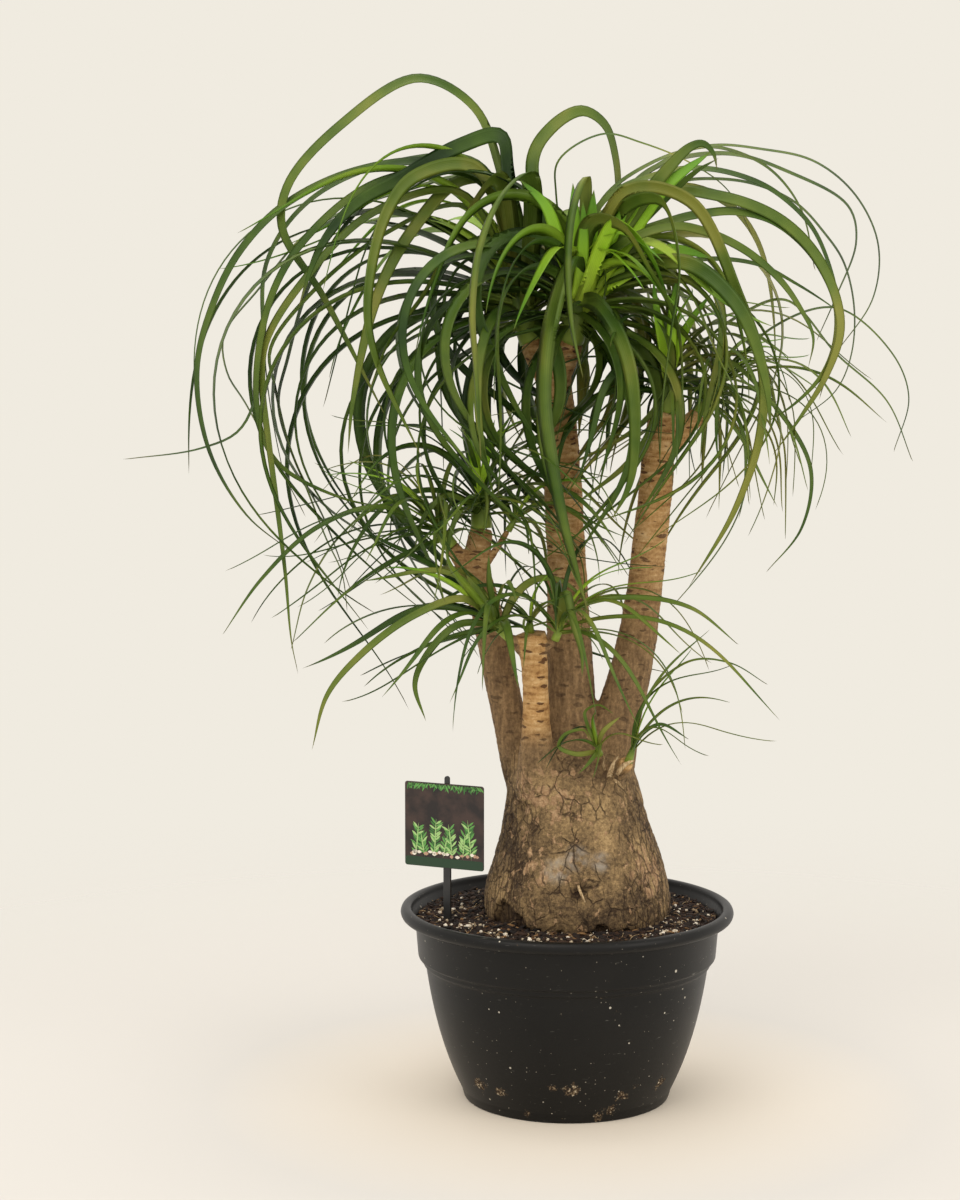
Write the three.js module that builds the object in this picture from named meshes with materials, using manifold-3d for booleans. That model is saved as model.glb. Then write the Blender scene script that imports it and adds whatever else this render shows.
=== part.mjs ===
// Potted ponytail palm: a swollen caudex with four trunks, whose growing points carry bunches of
// long strap leaves, set in potting mix in a black plastic bulb pan with a plant label beside it.
// Millimetres, +Z up, origin at the centre of the pot's base, the front of the plant towards -Y.

import * as THREE from "three";
import { mergeVertices } from "three/addons/utils/BufferGeometryUtils.js";
import Module from "manifold-3d";

const wasm = await Module();
wasm.setup();

// ---- driving dimensions: the pot, a 12.5 inch bulb pan ----
const POT_HEIGHT = 184;
const LIP_RADIUS = 158;
const LIP_INNER_RADIUS = 147;
const LIP_HEIGHT = 12;
const COLLAR_TOP_RADIUS = 144;
const COLLAR_LOW_RADIUS = 141;
const COLLAR_BOTTOM = 135.5;
const BAND_RADIUS = 136.5;
const BAND_BOTTOM = 129;
const BODY_TOP_RADIUS = 134;
const BODY_BELLY = [124.5, 58.5];
const FOOT_RADIUS = 100;
const FOOT_HEIGHT = 9;
const BASE_RADIUS = 97.5;
const WALL = 2.6;
const FLOOR = 3.5;
const POT_SIDES = 32;

// ---- driving dimensions: mix, wood, label and leaves ----
const SOIL_TOP = 170;
const MOUND_TOP = 178;
const MOUND_RADIUS = 96;
const SEAT_GAP = 0.3;
const TRUNK_SIDES = 10;
const STUB_SIDES = 7;
const CAUDEX_SIDES = 20;
const CAUDEX_FOOT = 112;
const STAKE_X = -112;
const STAKE_Y = -32;
const LABEL_TURN = THREE.MathUtils.degToRad(-22);
const STAKE_WIDTH = 7.4;
const STAKE_THICKNESS = 2.8;
const STAKE_FOOT = 92;
const STAKE_TOP = 312;
const NUB_WIDTH = 5;
const NUB_FOOT = 300;
const CARD_WIDTH = 81;
const CARD_HEIGHT = 80;
const CARD_THICKNESS = 1.2;
const CARD_CORNER = 2.5;
const CARD_TOP = 305;
const CARD_OFFSET = -2;
const CURVE_PIECES = 4;
const TRUNK_UNEVENNESS = 0.02;
const CAUDEX_UNEVENNESS = 0.012;
const HEART_SIDES = 7;
const LEAF_STEPS = 24;
const LONG_LEAF = 380;
const LONG_LEAF_STRIDE = 4;
const SHORT_LEAF_STRIDE = 6;
const MOST_NEW_FACES = 40;
const THINNEST_FACE = 0.002;
const KEEL_AT_ROOT = 2.2;
const KEEL_AT_TIP = 1;
const CLEARANCE = 0.8;
const FOOT_WIDTH_SHARE = 0.35;
const FULL_WIDTH_AT = 0.16;
const TIP_TAPER = 0.6;
const ROSETTE_ROOT_AT = 0.42;
const PLACED_ROOT_STEP = 0.37;
const FRONT_AGES = [0.1, 0.7];
const OLDEST_ROOT_AT = 0.25;
const YOUNGEST_ROOT_AT = 0.92;
const GOLDEN_ANGLE = THREE.MathUtils.degToRad(137.508);

// How far the leaves of a head differ from its own rule: angles in degrees, then radians, then shares.
const AZIMUTH_SPREAD = 0.2;
const LAUNCH_SPREAD = 6;
const FALL_SPREAD = 14;
const CURL_SPREAD = 0.6;
const SWAY_SPREAD = 0.8;
const ROLL_SPREAD = 0.8;
const TWIST_SPREAD = 1.1;
const SETTLED = [0.6, 0.95];
const LENGTH_SPREAD = [0.82, 1.12];

const UP = new THREE.Vector3(0, 0, 1);
const BACK = new THREE.Vector3(0, 1, 0);
const { degToRad, lerp, clamp, smoothstep } = THREE.MathUtils;
const vector = (point) => new THREE.Vector3(...point);

// A repeatable stream of numbers from 0 to 1.
function seeded(seed) {
  let state = seed >>> 0;
  return () => {
    state = (state + 0x6d2b79f5) >>> 0;
    let t = state;
    t = Math.imul(t ^ (t >>> 15), t | 1);
    t ^= t + Math.imul(t ^ (t >>> 7), t | 61);
    return ((t ^ (t >>> 14)) >>> 0) / 4294967296;
  };
}

// ---- solids and meshes ----
function solidFrom(geometry) {
  const bare = geometry.clone();
  bare.deleteAttribute("normal");
  bare.deleteAttribute("uv");
  const merged = mergeVertices(bare, 1e-4);
  return new wasm.Manifold(
    new wasm.Mesh({
      numProp: 3,
      vertProperties: new Float32Array(merged.attributes.position.array),
      triVerts: new Uint32Array(merged.index.array),
    }),
  );
}

function geometryFrom(solid) {
  const mesh = solid.getMesh();
  const geometry = new THREE.BufferGeometry();
  geometry.setAttribute("position", new THREE.BufferAttribute(new Float32Array(mesh.vertProperties), 3));
  geometry.setIndex(new THREE.BufferAttribute(new Uint32Array(mesh.triVerts), 1));
  return geometry;
}

// The outer skin of a joined solid: a hollow sealed between crossing leaves is filled.
function wholeBody(solid) {
  const bodies = solid.decompose();
  return bodies.reduce((largest, body) => (body.volume() > largest.volume() ? body : largest));
}

const middleOf = (ring) =>
  ring.reduce((sum, point) => sum.add(point), new THREE.Vector3()).divideScalar(ring.length);

// A closed skin over rings of equal count, drawn in to a point at each end.
function skinRings(rings, foot = middleOf(rings[0]), tip = middleOf(rings.at(-1))) {
  const sides = rings[0].length;
  const points = [...rings.flat(), foot, tip];
  const start = points.length - 2;
  const end = points.length - 1;
  const last = (rings.length - 1) * sides;
  const faces = [];
  for (let side = 0; side < sides; side++) {
    const next = (side + 1) % sides;
    faces.push(start, next, side);
    faces.push(end, last + side, last + next);
    for (let ring = 0; ring < rings.length - 1; ring++) {
      const low = ring * sides;
      const high = low + sides;
      faces.push(low + side, low + next, high + next);
      faces.push(low + side, high + next, high + side);
    }
  }
  const geometry = new THREE.BufferGeometry();
  geometry.setAttribute("position", new THREE.Float32BufferAttribute(points.flatMap((p) => p.toArray()), 3));
  geometry.setIndex(faces);
  return geometry;
}

// A stem through stops of [x, y, z, radius], square to its own path, with a flat cut at each end.
function stem(stops, sides, unevenness = 0, grow = 0) {
  const path = stops.map((stop) => vector(stop.slice(0, 3)));
  const rings = path.map((centre, i) => {
    const before = path[Math.max(i - 1, 0)];
    const after = path[Math.min(i + 1, path.length - 1)];
    const along = after.clone().sub(before).normalize();
    const across = new THREE.Vector3(1, 0, 0).addScaledVector(along, -along.x).normalize();
    const deep = along.clone().cross(across);
    return Array.from({ length: sides }, (_, side) => {
      const angle = (2 * Math.PI * side) / sides;
      const swell = 1 + unevenness * Math.sin(3 * angle + i) + unevenness * Math.sin(5 * angle - 2 * i);
      const radius = stops[i][3] * swell + grow;
      return centre
        .clone()
        .addScaledVector(across, radius * Math.cos(angle))
        .addScaledVector(deep, radius * Math.sin(angle));
    });
  });
  return skinRings(rings);
}

// ---- the pot ----
function bodyCurve(offset, pieces) {
  const curve = new THREE.QuadraticBezierCurve(
    new THREE.Vector2(FOOT_RADIUS + 1 - offset, FOOT_HEIGHT + 2),
    new THREE.Vector2(BODY_BELLY[0] - offset, BODY_BELLY[1]),
    new THREE.Vector2(BODY_TOP_RADIUS - offset, BAND_BOTTOM - 1),
  );
  return curve.getPoints(pieces).map((p) => [p.x, p.y]);
}

function potOutside() {
  const lipMiddle = (LIP_RADIUS + LIP_INNER_RADIUS) / 2;
  const lipFoot = POT_HEIGHT - LIP_HEIGHT;
  return [
    [0, 0],
    [BASE_RADIUS, 0],
    [FOOT_RADIUS, FOOT_HEIGHT],
    ...bodyCurve(0, 4),
    [BAND_RADIUS, BAND_BOTTOM],
    [BAND_RADIUS + 0.6, COLLAR_BOTTOM - 1],
    [COLLAR_LOW_RADIUS, COLLAR_BOTTOM],
    [COLLAR_TOP_RADIUS, lipFoot],
    [lipMiddle + 1, lipFoot],
    [LIP_RADIUS - 1.5, lipFoot + 2],
    [LIP_RADIUS, lipFoot + 6],
    [LIP_RADIUS - 1.5, POT_HEIGHT - 1.6],
    [lipMiddle, POT_HEIGHT],
    [LIP_INNER_RADIUS + 1, POT_HEIGHT - 1],
  ];
}

function potInside(gap) {
  return [
    [COLLAR_TOP_RADIUS - WALL - gap, SOIL_TOP],
    [COLLAR_LOW_RADIUS - WALL - gap, COLLAR_BOTTOM + 1],
    [BODY_TOP_RADIUS - WALL - gap, BAND_BOTTOM],
    ...bodyCurve(WALL + gap, 3).reverse().slice(1),
    [FOOT_RADIUS - WALL - gap, FLOOR + gap],
    [0, FLOOR + gap],
  ];
}

function turned(profile) {
  const points = profile.map(([radius, height]) => new THREE.Vector2(radius, height));
  const geometry = new THREE.LatheGeometry(points, POT_SIDES);
  geometry.rotateX(Math.PI / 2);
  return geometry;
}

const potGeometry = () => turned([...potOutside(), [LIP_INNER_RADIUS, SOIL_TOP + 8], ...potInside(0)]);

// ---- the woody part: each row is x, y, z and radius ----
const CAUDEX = [
  [10, -2, CAUDEX_FOOT, 68],
  [10, -2, 132, 84],
  [10, -2, 176, 88],
  [10, -1, 194, 88],
  [10, 0, 214, 84],
  [9, 0, 234, 77],
  [8, 0, 254, 71],
  [6, 0, 284, 65],
  [3, 0, 312, 59],
  [1, 0, 332, 47],
  [0, 0, 346, 26],
];

const TRUNKS = {
  centre: [
    [4, 0, 296, 30],
    [3, 2, 340, 26],
    [3, 3, 384, 22.6],
    [1, 4, 436, 21],
    [-1, 5, 497, 18.7],
    [-3, 5, 542, 18],
    [-6, 5, 592, 17.7],
    [-11, 4, 651, 17.2],
    [-16, 2, 690, 16.5],
    [-17, 2, 702, 13],
  ],
  crownProng: [
    [-12, 1, 680, 13],
    [-4, -4, 702, 13],
    [2, -8, 716, 12.5],
  ],
  crownLeftProng: [
    [-19, 3, 682, 13],
    [-28, 9, 702, 12.5],
    [-34, 14, 714, 12],
  ],
  left: [
    [-26, 2, 280, 28],
    [-43, 6, 322, 20.5],
    [-54, 9, 354, 16],
    [-61, 10, 388, 15.5],
    [-68, 8, 428, 16],
    [-78, 5, 468, 14.5],
    [-87, 2, 500, 14],
    [-84, 4, 524, 12],
    [-81, 4, 541, 11],
  ],
  leftStub: [
    [-88, 0, 494, 11],
    [-98, -4, 510, 8.5],
    [-109, -8, 525, 7],
  ],
  leftTwig: [
    [-82, -2, 502, 5],
    [-68, -8, 520, 3.4],
    [-56, -11, 540, 3],
  ],
  stump: [
    [-24, -32, 296, 25],
    [-28, -42, 330, 17],
    [-29, -45, 358, 13.6],
    [-29, -46, 383, 12.4],
    [-30, -47, 409, 12],
    [-32, -48, 434, 13],
    [-34, -49, 449, 14.4],
  ],
  stumpLeftStub: [
    [-38, -48, 428, 6],
    [-46, -52, 437, 4.6],
    [-54, -56, 446, 4.2],
  ],
  stumpRightStub: [
    [-28, -49, 428, 6],
    [-19, -52, 436, 4],
    [-12, -54, 443, 3.4],
  ],
  right: [
    [24, 0, 286, 36],
    [37, 0, 332, 29],
    [48, -2, 366, 21.5],
    [57, -3, 400, 20],
    [65, -3, 437, 18.6],
    [71, -3, 480, 16.6],
    [76, -3, 528, 16.2],
    [81, -3, 578, 15.9],
    [84, -3, 620, 15],
    [90, -4, 650, 14.5],
  ],
  rightStub: [
    [88, 0, 612, 12],
    [104, 2, 631, 10],
    [121, 4, 648, 8.5],
  ],
  shoulderFrontStub: [
    [20, -30, 318, 9],
    [27, -52, 332, 6],
    [29, -58, 338, 5],
  ],
  shoulderRightStub: [
    [40, -34, 312, 12],
    [50, -46, 322, 8.5],
    [56, -51, 329, 7],
  ],
};

function trunkSolid() {
  let wood = solidFrom(stem(CAUDEX, CAUDEX_SIDES, CAUDEX_UNEVENNESS));
  for (const stops of Object.values(TRUNKS)) {
    const sides = stops[0][3] > 15 ? TRUNK_SIDES : STUB_SIDES;
    wood = wood.add(solidFrom(stem(stops, sides, TRUNK_UNEVENNESS)));
  }
  return wood;
}

// ---- the label ----
// A flat outline, drawn upright about the stake's line, gets its thickness and the label's turn.
function labelPiece(outline, thickness, front) {
  const options = { depth: thickness, bevelEnabled: false, curveSegments: CURVE_PIECES };
  const geometry = new THREE.ExtrudeGeometry(outline, options);
  geometry.rotateX(Math.PI / 2);
  geometry.translate(0, thickness - front, 0);
  geometry.rotateZ(LABEL_TURN);
  geometry.translate(STAKE_X, STAKE_Y, 0);
  return geometry;
}

// A straight stake that ends in a slimmer round-topped nub behind the card.
function stakeGeometry() {
  const half = STAKE_WIDTH / 2;
  const nub = NUB_WIDTH / 2;
  const outline = new THREE.Shape();
  outline.moveTo(-half, STAKE_FOOT);
  outline.lineTo(half, STAKE_FOOT);
  outline.lineTo(half, NUB_FOOT);
  outline.lineTo(nub, NUB_FOOT);
  outline.absarc(0, STAKE_TOP - nub, nub, 0, Math.PI);
  outline.lineTo(-nub, NUB_FOOT);
  outline.lineTo(-half, NUB_FOOT);
  return labelPiece(outline, STAKE_THICKNESS, STAKE_THICKNESS / 2);
}

function stakeHole() {
  const half = STAKE_WIDTH / 2 + SEAT_GAP;
  const outline = new THREE.Shape();
  outline.moveTo(-half, STAKE_FOOT - SEAT_GAP);
  outline.lineTo(half, STAKE_FOOT - SEAT_GAP);
  outline.lineTo(half, NUB_FOOT);
  outline.lineTo(-half, NUB_FOOT);
  return labelPiece(outline, STAKE_THICKNESS + 2 * SEAT_GAP, STAKE_THICKNESS / 2 + SEAT_GAP);
}

// The card, with rounded corners, hangs a seat gap in front of the stake.
function cardGeometry() {
  const left = CARD_OFFSET - CARD_WIDTH / 2 + CARD_CORNER;
  const right = CARD_OFFSET + CARD_WIDTH / 2 - CARD_CORNER;
  const high = CARD_TOP - CARD_CORNER;
  const low = CARD_TOP - CARD_HEIGHT + CARD_CORNER;
  const outline = new THREE.Shape();
  outline.absarc(right, high, CARD_CORNER, 0, Math.PI / 2);
  outline.absarc(left, high, CARD_CORNER, Math.PI / 2, Math.PI);
  outline.absarc(left, low, CARD_CORNER, Math.PI, 1.5 * Math.PI);
  outline.absarc(right, low, CARD_CORNER, 1.5 * Math.PI, 2 * Math.PI);
  return labelPiece(outline, CARD_THICKNESS, STAKE_THICKNESS / 2 + SEAT_GAP + CARD_THICKNESS);
}

// ---- the mix, mounded to the caudex, with a plain hole for it and one for the stake ----
function soilSolid() {
  const mound = [[0, MOUND_TOP], [MOUND_RADIUS, MOUND_TOP]];
  const fill = solidFrom(turned([...mound, ...potInside(SEAT_GAP)].reverse()));
  const caudexHole = solidFrom(stem(CAUDEX, CAUDEX_SIDES, CAUDEX_UNEVENNESS, SEAT_GAP));
  return fill.subtract(caudexHole).subtract(solidFrom(stakeHole()));
}

// ---- the leafy heads ----
// on and tip: the stub that the heart sits on, and the heart's upper end. Leaves clasp the heart.
// Angles are in degrees: launch from the heart's own axis, and fall, the direction that a leaf's
// end hangs in, from straight up. Each pair runs from the youngest leaf to the older ones.
// depth: how long a leaf towards the front or the back is, as a share of one to the side. front:
// grown leaves whose direction is further to the front than this are left to the placed ones.
// flatten: how far the leaves are drawn to the two sides. right: how long a leaf to the right is,
// as a share of one to the left.
const HEADS = {
  crown_head: {
    on: "crownProng", tip: [12, -30, 766], radius: [12, 6], leaves: 44, seed: 3,
    launch: [8, 100], fall: [100, 228], length: [220, 520], width: [9, 16],
    depth: 0.5, front: 0.5, flatten: 0.22, right: 0.8,
  },
  crown_left_head: {
    on: "crownLeftProng", tip: [-52, 18, 770], radius: [12, 6], leaves: 52, seed: 7,
    launch: [8, 100], fall: [104, 230], length: [240, 680], width: [8, 15],
    depth: 0.45, front: 0.6, flatten: 0.25, right: 0.6,
  },
  right_head: {
    on: "right", tip: [94, -12, 704], radius: [12, 6], leaves: 38, seed: 12,
    launch: [6, 86], fall: [80, 166], length: [110, 240], width: [4, 10],
    depth: 0.7, front: 0.8,
  },
  right_side_head: {
    on: "rightStub", tip: [144, 8, 684], radius: [8, 4], leaves: 26, seed: 21,
    launch: [10, 88], fall: [80, 180], length: [80, 185], width: [3, 7],
  },
  left_head: {
    on: "left", tip: [-83, 4, 578], radius: [10, 5], leaves: 24, seed: 33,
    launch: [8, 88], fall: [62, 128], length: [100, 215], width: [3, 8],
  },
  left_outer_head: {
    on: "leftStub", tip: [-126, -13, 548], radius: [7, 4], leaves: 24, seed: 41,
    launch: [8, 80], fall: [66, 126], length: [95, 205], width: [3, 7],
  },
  left_twig_head: {
    on: "leftTwig", tip: [-46, -14, 556], radius: [3.4, 2], leaves: 10, seed: 52,
    launch: [10, 80], fall: [80, 160], length: [80, 160], width: [3, 5],
  },
  stump_left_shoot: {
    on: "stumpLeftStub", tip: [-76, -66, 468], radius: [5, 4], leaves: 12, seed: 64,
    launch: [10, 72], fall: [50, 128], length: [95, 185], width: [6, 11],
  },
  stump_middle_shoot: {
    on: "stump", tip: [-34, -54, 464], radius: [3.4, 2], leaves: 8, seed: 71,
    launch: [15, 75], fall: [40, 130], length: [50, 90], width: [3, 4],
  },
  stump_right_shoot: {
    on: "stumpRightStub", tip: [-4, -59, 462], radius: [4, 3], leaves: 12, seed: 83,
    launch: [8, 70], fall: [60, 150], length: [100, 230], width: [3, 6],
  },
  shoulder_front_shoot: {
    on: "shoulderFrontStub", tip: [27, -68, 348], radius: [4, 3], leaves: 5, seed: 95,
    launch: [10, 60], fall: [50, 120], length: [40, 75], width: [4, 6],
  },
  shoulder_right_shoot: {
    on: "shoulderRightStub", tip: [62, -52, 348], radius: [4, 2.6], leaves: 5, seed: 101,
    launch: [4, 30], fall: [30, 110], length: [80, 170], width: [2.4, 4],
  },
};

// Leaves that are told apart in the crown, each by the places that it passes through:
// its head, its width, its roll about its own length in degrees, and x, y, z along its way.
const PLACED_LEAVES = [
  ["crown_left_head", 12, 50, [[-67, 10, 875], [-90, 8, 930], [-140, 0, 955], [-210, -12, 912],
    [-257, -20, 859], [-263, -22, 819], [-226, -15, 756], [-165, 0, 635]]],
  ["crown_left_head", 15, 40, [[-58, -4, 872], [-64, -12, 902], [-100, -20, 893], [-153, -35, 863],
    [-195, -50, 838], [-225, -60, 800], [-245, -65, 745]]],
  ["crown_head", 13, -40, [[-34, 10, 880], [-16, 15, 912], [11, 20, 927], [32, 28, 915], [42, 34, 886],
    [45, 40, 850], [42, 50, 805]]],
  ["crown_left_head", 11, 60, [[-64, -5, 850], [-120, -15, 877], [-195, -20, 870], [-260, -22, 840],
    [-300, -25, 800], [-326, -25, 752], [-343, -22, 690], [-333, -20, 615], [-300, -15, 555],
    [-260, -10, 520]]],
  ["crown_left_head", 11, 58, [[-82, 24, 862], [-157, 40, 854], [-242, 50, 820], [-296, 55, 762],
    [-328, 55, 720], [-325, 52, 685], [-307, 50, 655], [-250, 40, 548]]],
  ["crown_left_head", 9, 60, [[-82, 5, 876], [-157, 0, 880], [-238, 0, 846], [-280, 0, 788],
    [-285, -3, 690], [-305, -10, 634], [-342, -12, 616], [-415, -15, 606]]],
  ["crown_head", 8, -60, [[30, -5, 842], [76, 0, 878], [130, 5, 894], [176, 8, 891], [225, 10, 880],
    [263, 12, 850], [285, 12, 805], [281, 10, 755], [248, 5, 705]]],
  ["crown_head", 10, -50, [[67, 15, 866], [141, 25, 888], [207, 35, 870], [260, 40, 840],
    [268, 42, 808], [250, 38, 757], [232, 35, 715]]],
  ["crown_head", 12, -45, [[66, -25, 846], [134, -45, 846], [190, -55, 824], [226, -62, 785],
    [244, -62, 731], [233, -60, 688], [210, -55, 648], [185, -50, 612]]],
  ["crown_head", 16, -30, [[51, -60, 850], [108, -85, 840], [150, -100, 757], [172, -103, 690],
    [170, -100, 631], [149, -90, 565], [109, -75, 494]]],
  ["crown_head", 17, -20, [[45, -50, 832], [82, -95, 840], [97, -116, 785], [90, -122, 725],
    [83, -125, 668], [80, -125, 608]]],
  ["crown_head", 12, 20, [[13, -60, 862], [2, -85, 832], [-2, -100, 785], [2, -108, 731],
    [13, -110, 683]]],
  ["crown_head", 20, 10, [[2, -60, 792], [-8, -90, 772], [-20, -107, 720], [-23, -112, 665],
    [-16, -115, 611], [-4, -112, 552], [19, -102, 470]]],
  ["crown_left_head", 18, 15, [[-37, -50, 865], [-60, -82, 848], [-80, -112, 800], [-86, -128, 744],
    [-83, -132, 700], [-77, -130, 612]]],
  ["crown_left_head", 17, 25, [[-66, -30, 864], [-105, -62, 810], [-131, -85, 758], [-160, -97, 718],
    [-178, -98, 672]]],
  ["crown_left_head", 13, 35, [[-85, -15, 872], [-140, -50, 864], [-166, -75, 826], [-180, -95, 745],
    [-172, -98, 700], [-131, -92, 611]]],
  ["crown_left_head", 13, 40, [[-60, 0, 856], [-100, -5, 862], [-147, -20, 812], [-176, -30, 755],
    [-198, -35, 661], [-203, -35, 612]]],
  ["crown_head", 16, -10, [[28, -70, 748], [48, -92, 715], [58, -102, 670], [56, -102, 594],
    [39, -98, 557]]],
  ["crown_head", 17, -15, [[20, -60, 822], [46, -85, 820], [72, -103, 780], [96, -115, 731],
    [101, -118, 646]]],
  ["crown_head", 15, -30, [[66, -50, 782], [108, -92, 784], [150, -117, 745], [173, -125, 682],
    [178, -125, 636]]],
  ["right_head", 5, -55, [[155, 0, 737], [200, 5, 753], [248, 5, 703], [295, 5, 660], [320, 5, 604]]],
  ["right_side_head", 4, -55, [[187, 15, 726], [248, 20, 746], [300, 20, 705], [317, 20, 663],
    [304, 20, 612]]],
  ["right_head", 6, -45, [[140, -15, 700], [190, -22, 655], [222, -25, 600], [215, -25, 545],
    [183, -25, 503]]],
  ["left_outer_head", 6, 50, [[-175, -30, 563], [-231, -40, 545], [-282, -45, 498], [-319, -48, 446]]],
  ["left_outer_head", 5, 50, [[-157, -5, 572], [-213, 5, 534], [-245, 8, 484], [-262, 10, 425]]],
  ["stump_left_shoot", 7, 40, [[-96, -85, 484], [-140, -100, 470], [-186, -110, 436],
    [-216, -115, 400], [-230, -118, 350]]],
  ["stump_left_shoot", 7, 30, [[-100, -84, 460], [-126, -92, 436], [-138, -98, 408], [-128, -100, 374]]],
  ["shoulder_front_shoot", 5, 30, [[6, -82, 342], [-8, -88, 350], [-3, -84, 360], [15, -76, 363],
    [21, -72, 352]]],
  ["shoulder_front_shoot", 5, -30, [[33, -74, 362], [48, -72, 375]]],
  ["shoulder_front_shoot", 4, 30, [[18, -78, 368], [16, -80, 381], [28, -80, 387], [42, -76, 378]]],
  ["shoulder_right_shoot", 3, -40, [[74, -44, 390], [113, -38, 422], [150, -36, 420], [185, -35, 400]]],
  ["shoulder_right_shoot", 4, -30, [[70, -49, 356], [86, -46, 364], [112, -44, 350]]],
  ["shoulder_right_shoot", 3, -30, [[68, -52, 378], [90, -50, 415], [130, -45, 452]]],
  ["stump_right_shoot", 6, -45, [[14, -64, 476], [60, -66, 484], [112, -62, 474], [156, -58, 440]]],
  ["stump_right_shoot", 9, 20, [[-2, -84, 492], [6, -94, 462], [13, -96, 436], [13, -95, 414]]],
  ["crown_left_head", 10, 50, [[-90, 20, 868], [-180, 30, 850], [-240, 35, 775], [-265, 35, 698],
    [-274, 35, 656], [-258, 35, 600], [-231, 32, 546], [-206, 30, 477]]],
  ["crown_left_head", 9, 50, [[-85, -10, 862], [-170, -20, 862], [-240, -28, 810], [-275, -30, 750],
    [-287, -30, 656], [-270, -30, 606], [-211, -28, 572], [-150, -25, 560]]],
];

// The bright young leaves in the middle of a head, in the same form.
const YOUNG_LEAVES = [
  ["crown_head", 16, 10, [[8, -38, 772], [5, -48, 812], [3, -54, 858]]],
  ["crown_head", 18, -10, [[13, -40, 772], [19, -48, 812], [22, -54, 852]]],
  ["crown_head", 18, -15, [[18, -38, 770], [35, -46, 806], [58, -54, 850]]],
  ["crown_head", 18, -20, [[22, -34, 766], [47, -44, 800], [84, -54, 852], [128, -58, 886]]],
  ["crown_head", 15, 20, [[2, -34, 772], [-8, -42, 800], [-22, -48, 838], [-46, -52, 862]]],
  ["crown_head", 16, -20, [[24, -34, 758], [52, -42, 778], [92, -48, 798], [130, -52, 790]]],
  ["crown_head", 14, -15, [[19, -46, 770], [29, -62, 800], [41, -76, 820], [55, -88, 814],
    [75, -98, 787], [90, -102, 746]]],
  ["crown_head", 13, 0, [[11, -46, 780], [13, -54, 815], [12, -58, 842]]],
  ["right_head", 10, 15, [[86, -26, 712], [80, -36, 742], [76, -42, 772]]],
  ["right_head", 10, -10, [[94, -28, 712], [94, -38, 742], [98, -44, 776]]],
  ["right_head", 9, -20, [[100, -26, 710], [112, -34, 736], [130, -40, 760]]],
  ["left_head", 8, 15, [[-85, -10, 588], [-90, -20, 613], [-98, -28, 643]]],
  ["left_head", 8, -15, [[-79, -10, 588], [-74, -18, 616], [-68, -26, 644]]],
];

// The stations of a placed leaf: an even walk along a smooth line through its places.
function placedPath(root, places) {
  const curve = new THREE.CatmullRomCurve3([root, ...places.map(vector)], false, "centripetal");
  return curve.getSpacedPoints(LEAF_STEPS);
}

// The stations of a grown leaf: it launches at an angle and bends over under its own weight.
function grownPath(root, leaf) {
  const points = [root.clone()];
  const step = leaf.length / LEAF_STEPS;
  const at = root.clone();
  for (let i = 0; i < LEAF_STEPS; i++) {
    const t = (i + 0.5) / LEAF_STEPS;
    const polar = lerp(leaf.launch, leaf.fall, smoothstep(t, 0, leaf.settled)) + leaf.curl * t ** 3;
    const azimuth = leaf.azimuth + leaf.sway * t * t;
    at.x += step * Math.sin(polar) * Math.cos(azimuth);
    at.y += step * Math.sin(polar) * Math.sin(azimuth);
    at.z += step * Math.cos(polar);
    points.push(at.clone());
  }
  return points;
}

// Half the width of a strap leaf along its length: a slim foot, a long strap, a thread tip.
function halfWidth(width, t) {
  const fromFoot = lerp(FOOT_WIDTH_SHARE, 1, smoothstep(t, 0, FULL_WIDTH_AT));
  return (width / 2) * fromFoot * (1 - t) ** TIP_TAPER;
}

const lengthOf = (path) =>
  path.slice(1).reduce((sum, point, i) => sum + point.distanceTo(path[i]), 0);

// A closed strap along a path, three-sided: a flat upper face over a shallow keel. A grown leaf
// rolls from level, and a placed one from facing the front.
function blade(path, width, roll, twist, placed, grow = 0) {
  const away = path[8].clone().sub(path[0]).setZ(0);
  if (away.length() < 1) away.set(1, 0, 0);
  let side = placed ? BACK.clone().cross(path[1].clone().sub(path[0])) : away.cross(UP);
  const stride = lengthOf(path) > LONG_LEAF ? LONG_LEAF_STRIDE : SHORT_LEAF_STRIDE;
  const rings = [];
  for (let station = 0; station < LEAF_STEPS; station += stride) {
    const before = path[Math.max(station - 1, 0)];
    const after = path[Math.min(station + 1, LEAF_STEPS)];
    const along = after.clone().sub(before).normalize();
    side = side.addScaledVector(along, -side.dot(along)).normalize();
    const t = station / LEAF_STEPS;
    const face = side.clone().applyAxisAngle(along, roll + twist * t);
    const keel = along.clone().cross(face);
    const half = halfWidth(width, t) + grow;
    const depth = lerp(KEEL_AT_ROOT, KEEL_AT_TIP, t) * clamp(width / 8, 0.6, 1) + grow;
    const top = path[station].clone().addScaledVector(keel, -grow);
    rings.push([
      top.clone().addScaledVector(face, -half),
      top.clone().addScaledVector(face, half),
      path[station].clone().addScaledVector(keel, depth),
    ]);
  }
  const footCut = rings[0][0];
  return solidFrom(skinRings(rings, footCut, path.at(-1)));
}

// Leaves lengthen as they age, and the oldest, lowest ones are shorter again.
const fullness = (age) => smoothstep(age, -0.1, 0.4) * (1 - 0.45 * smoothstep(age, 0.45, 1));

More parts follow.
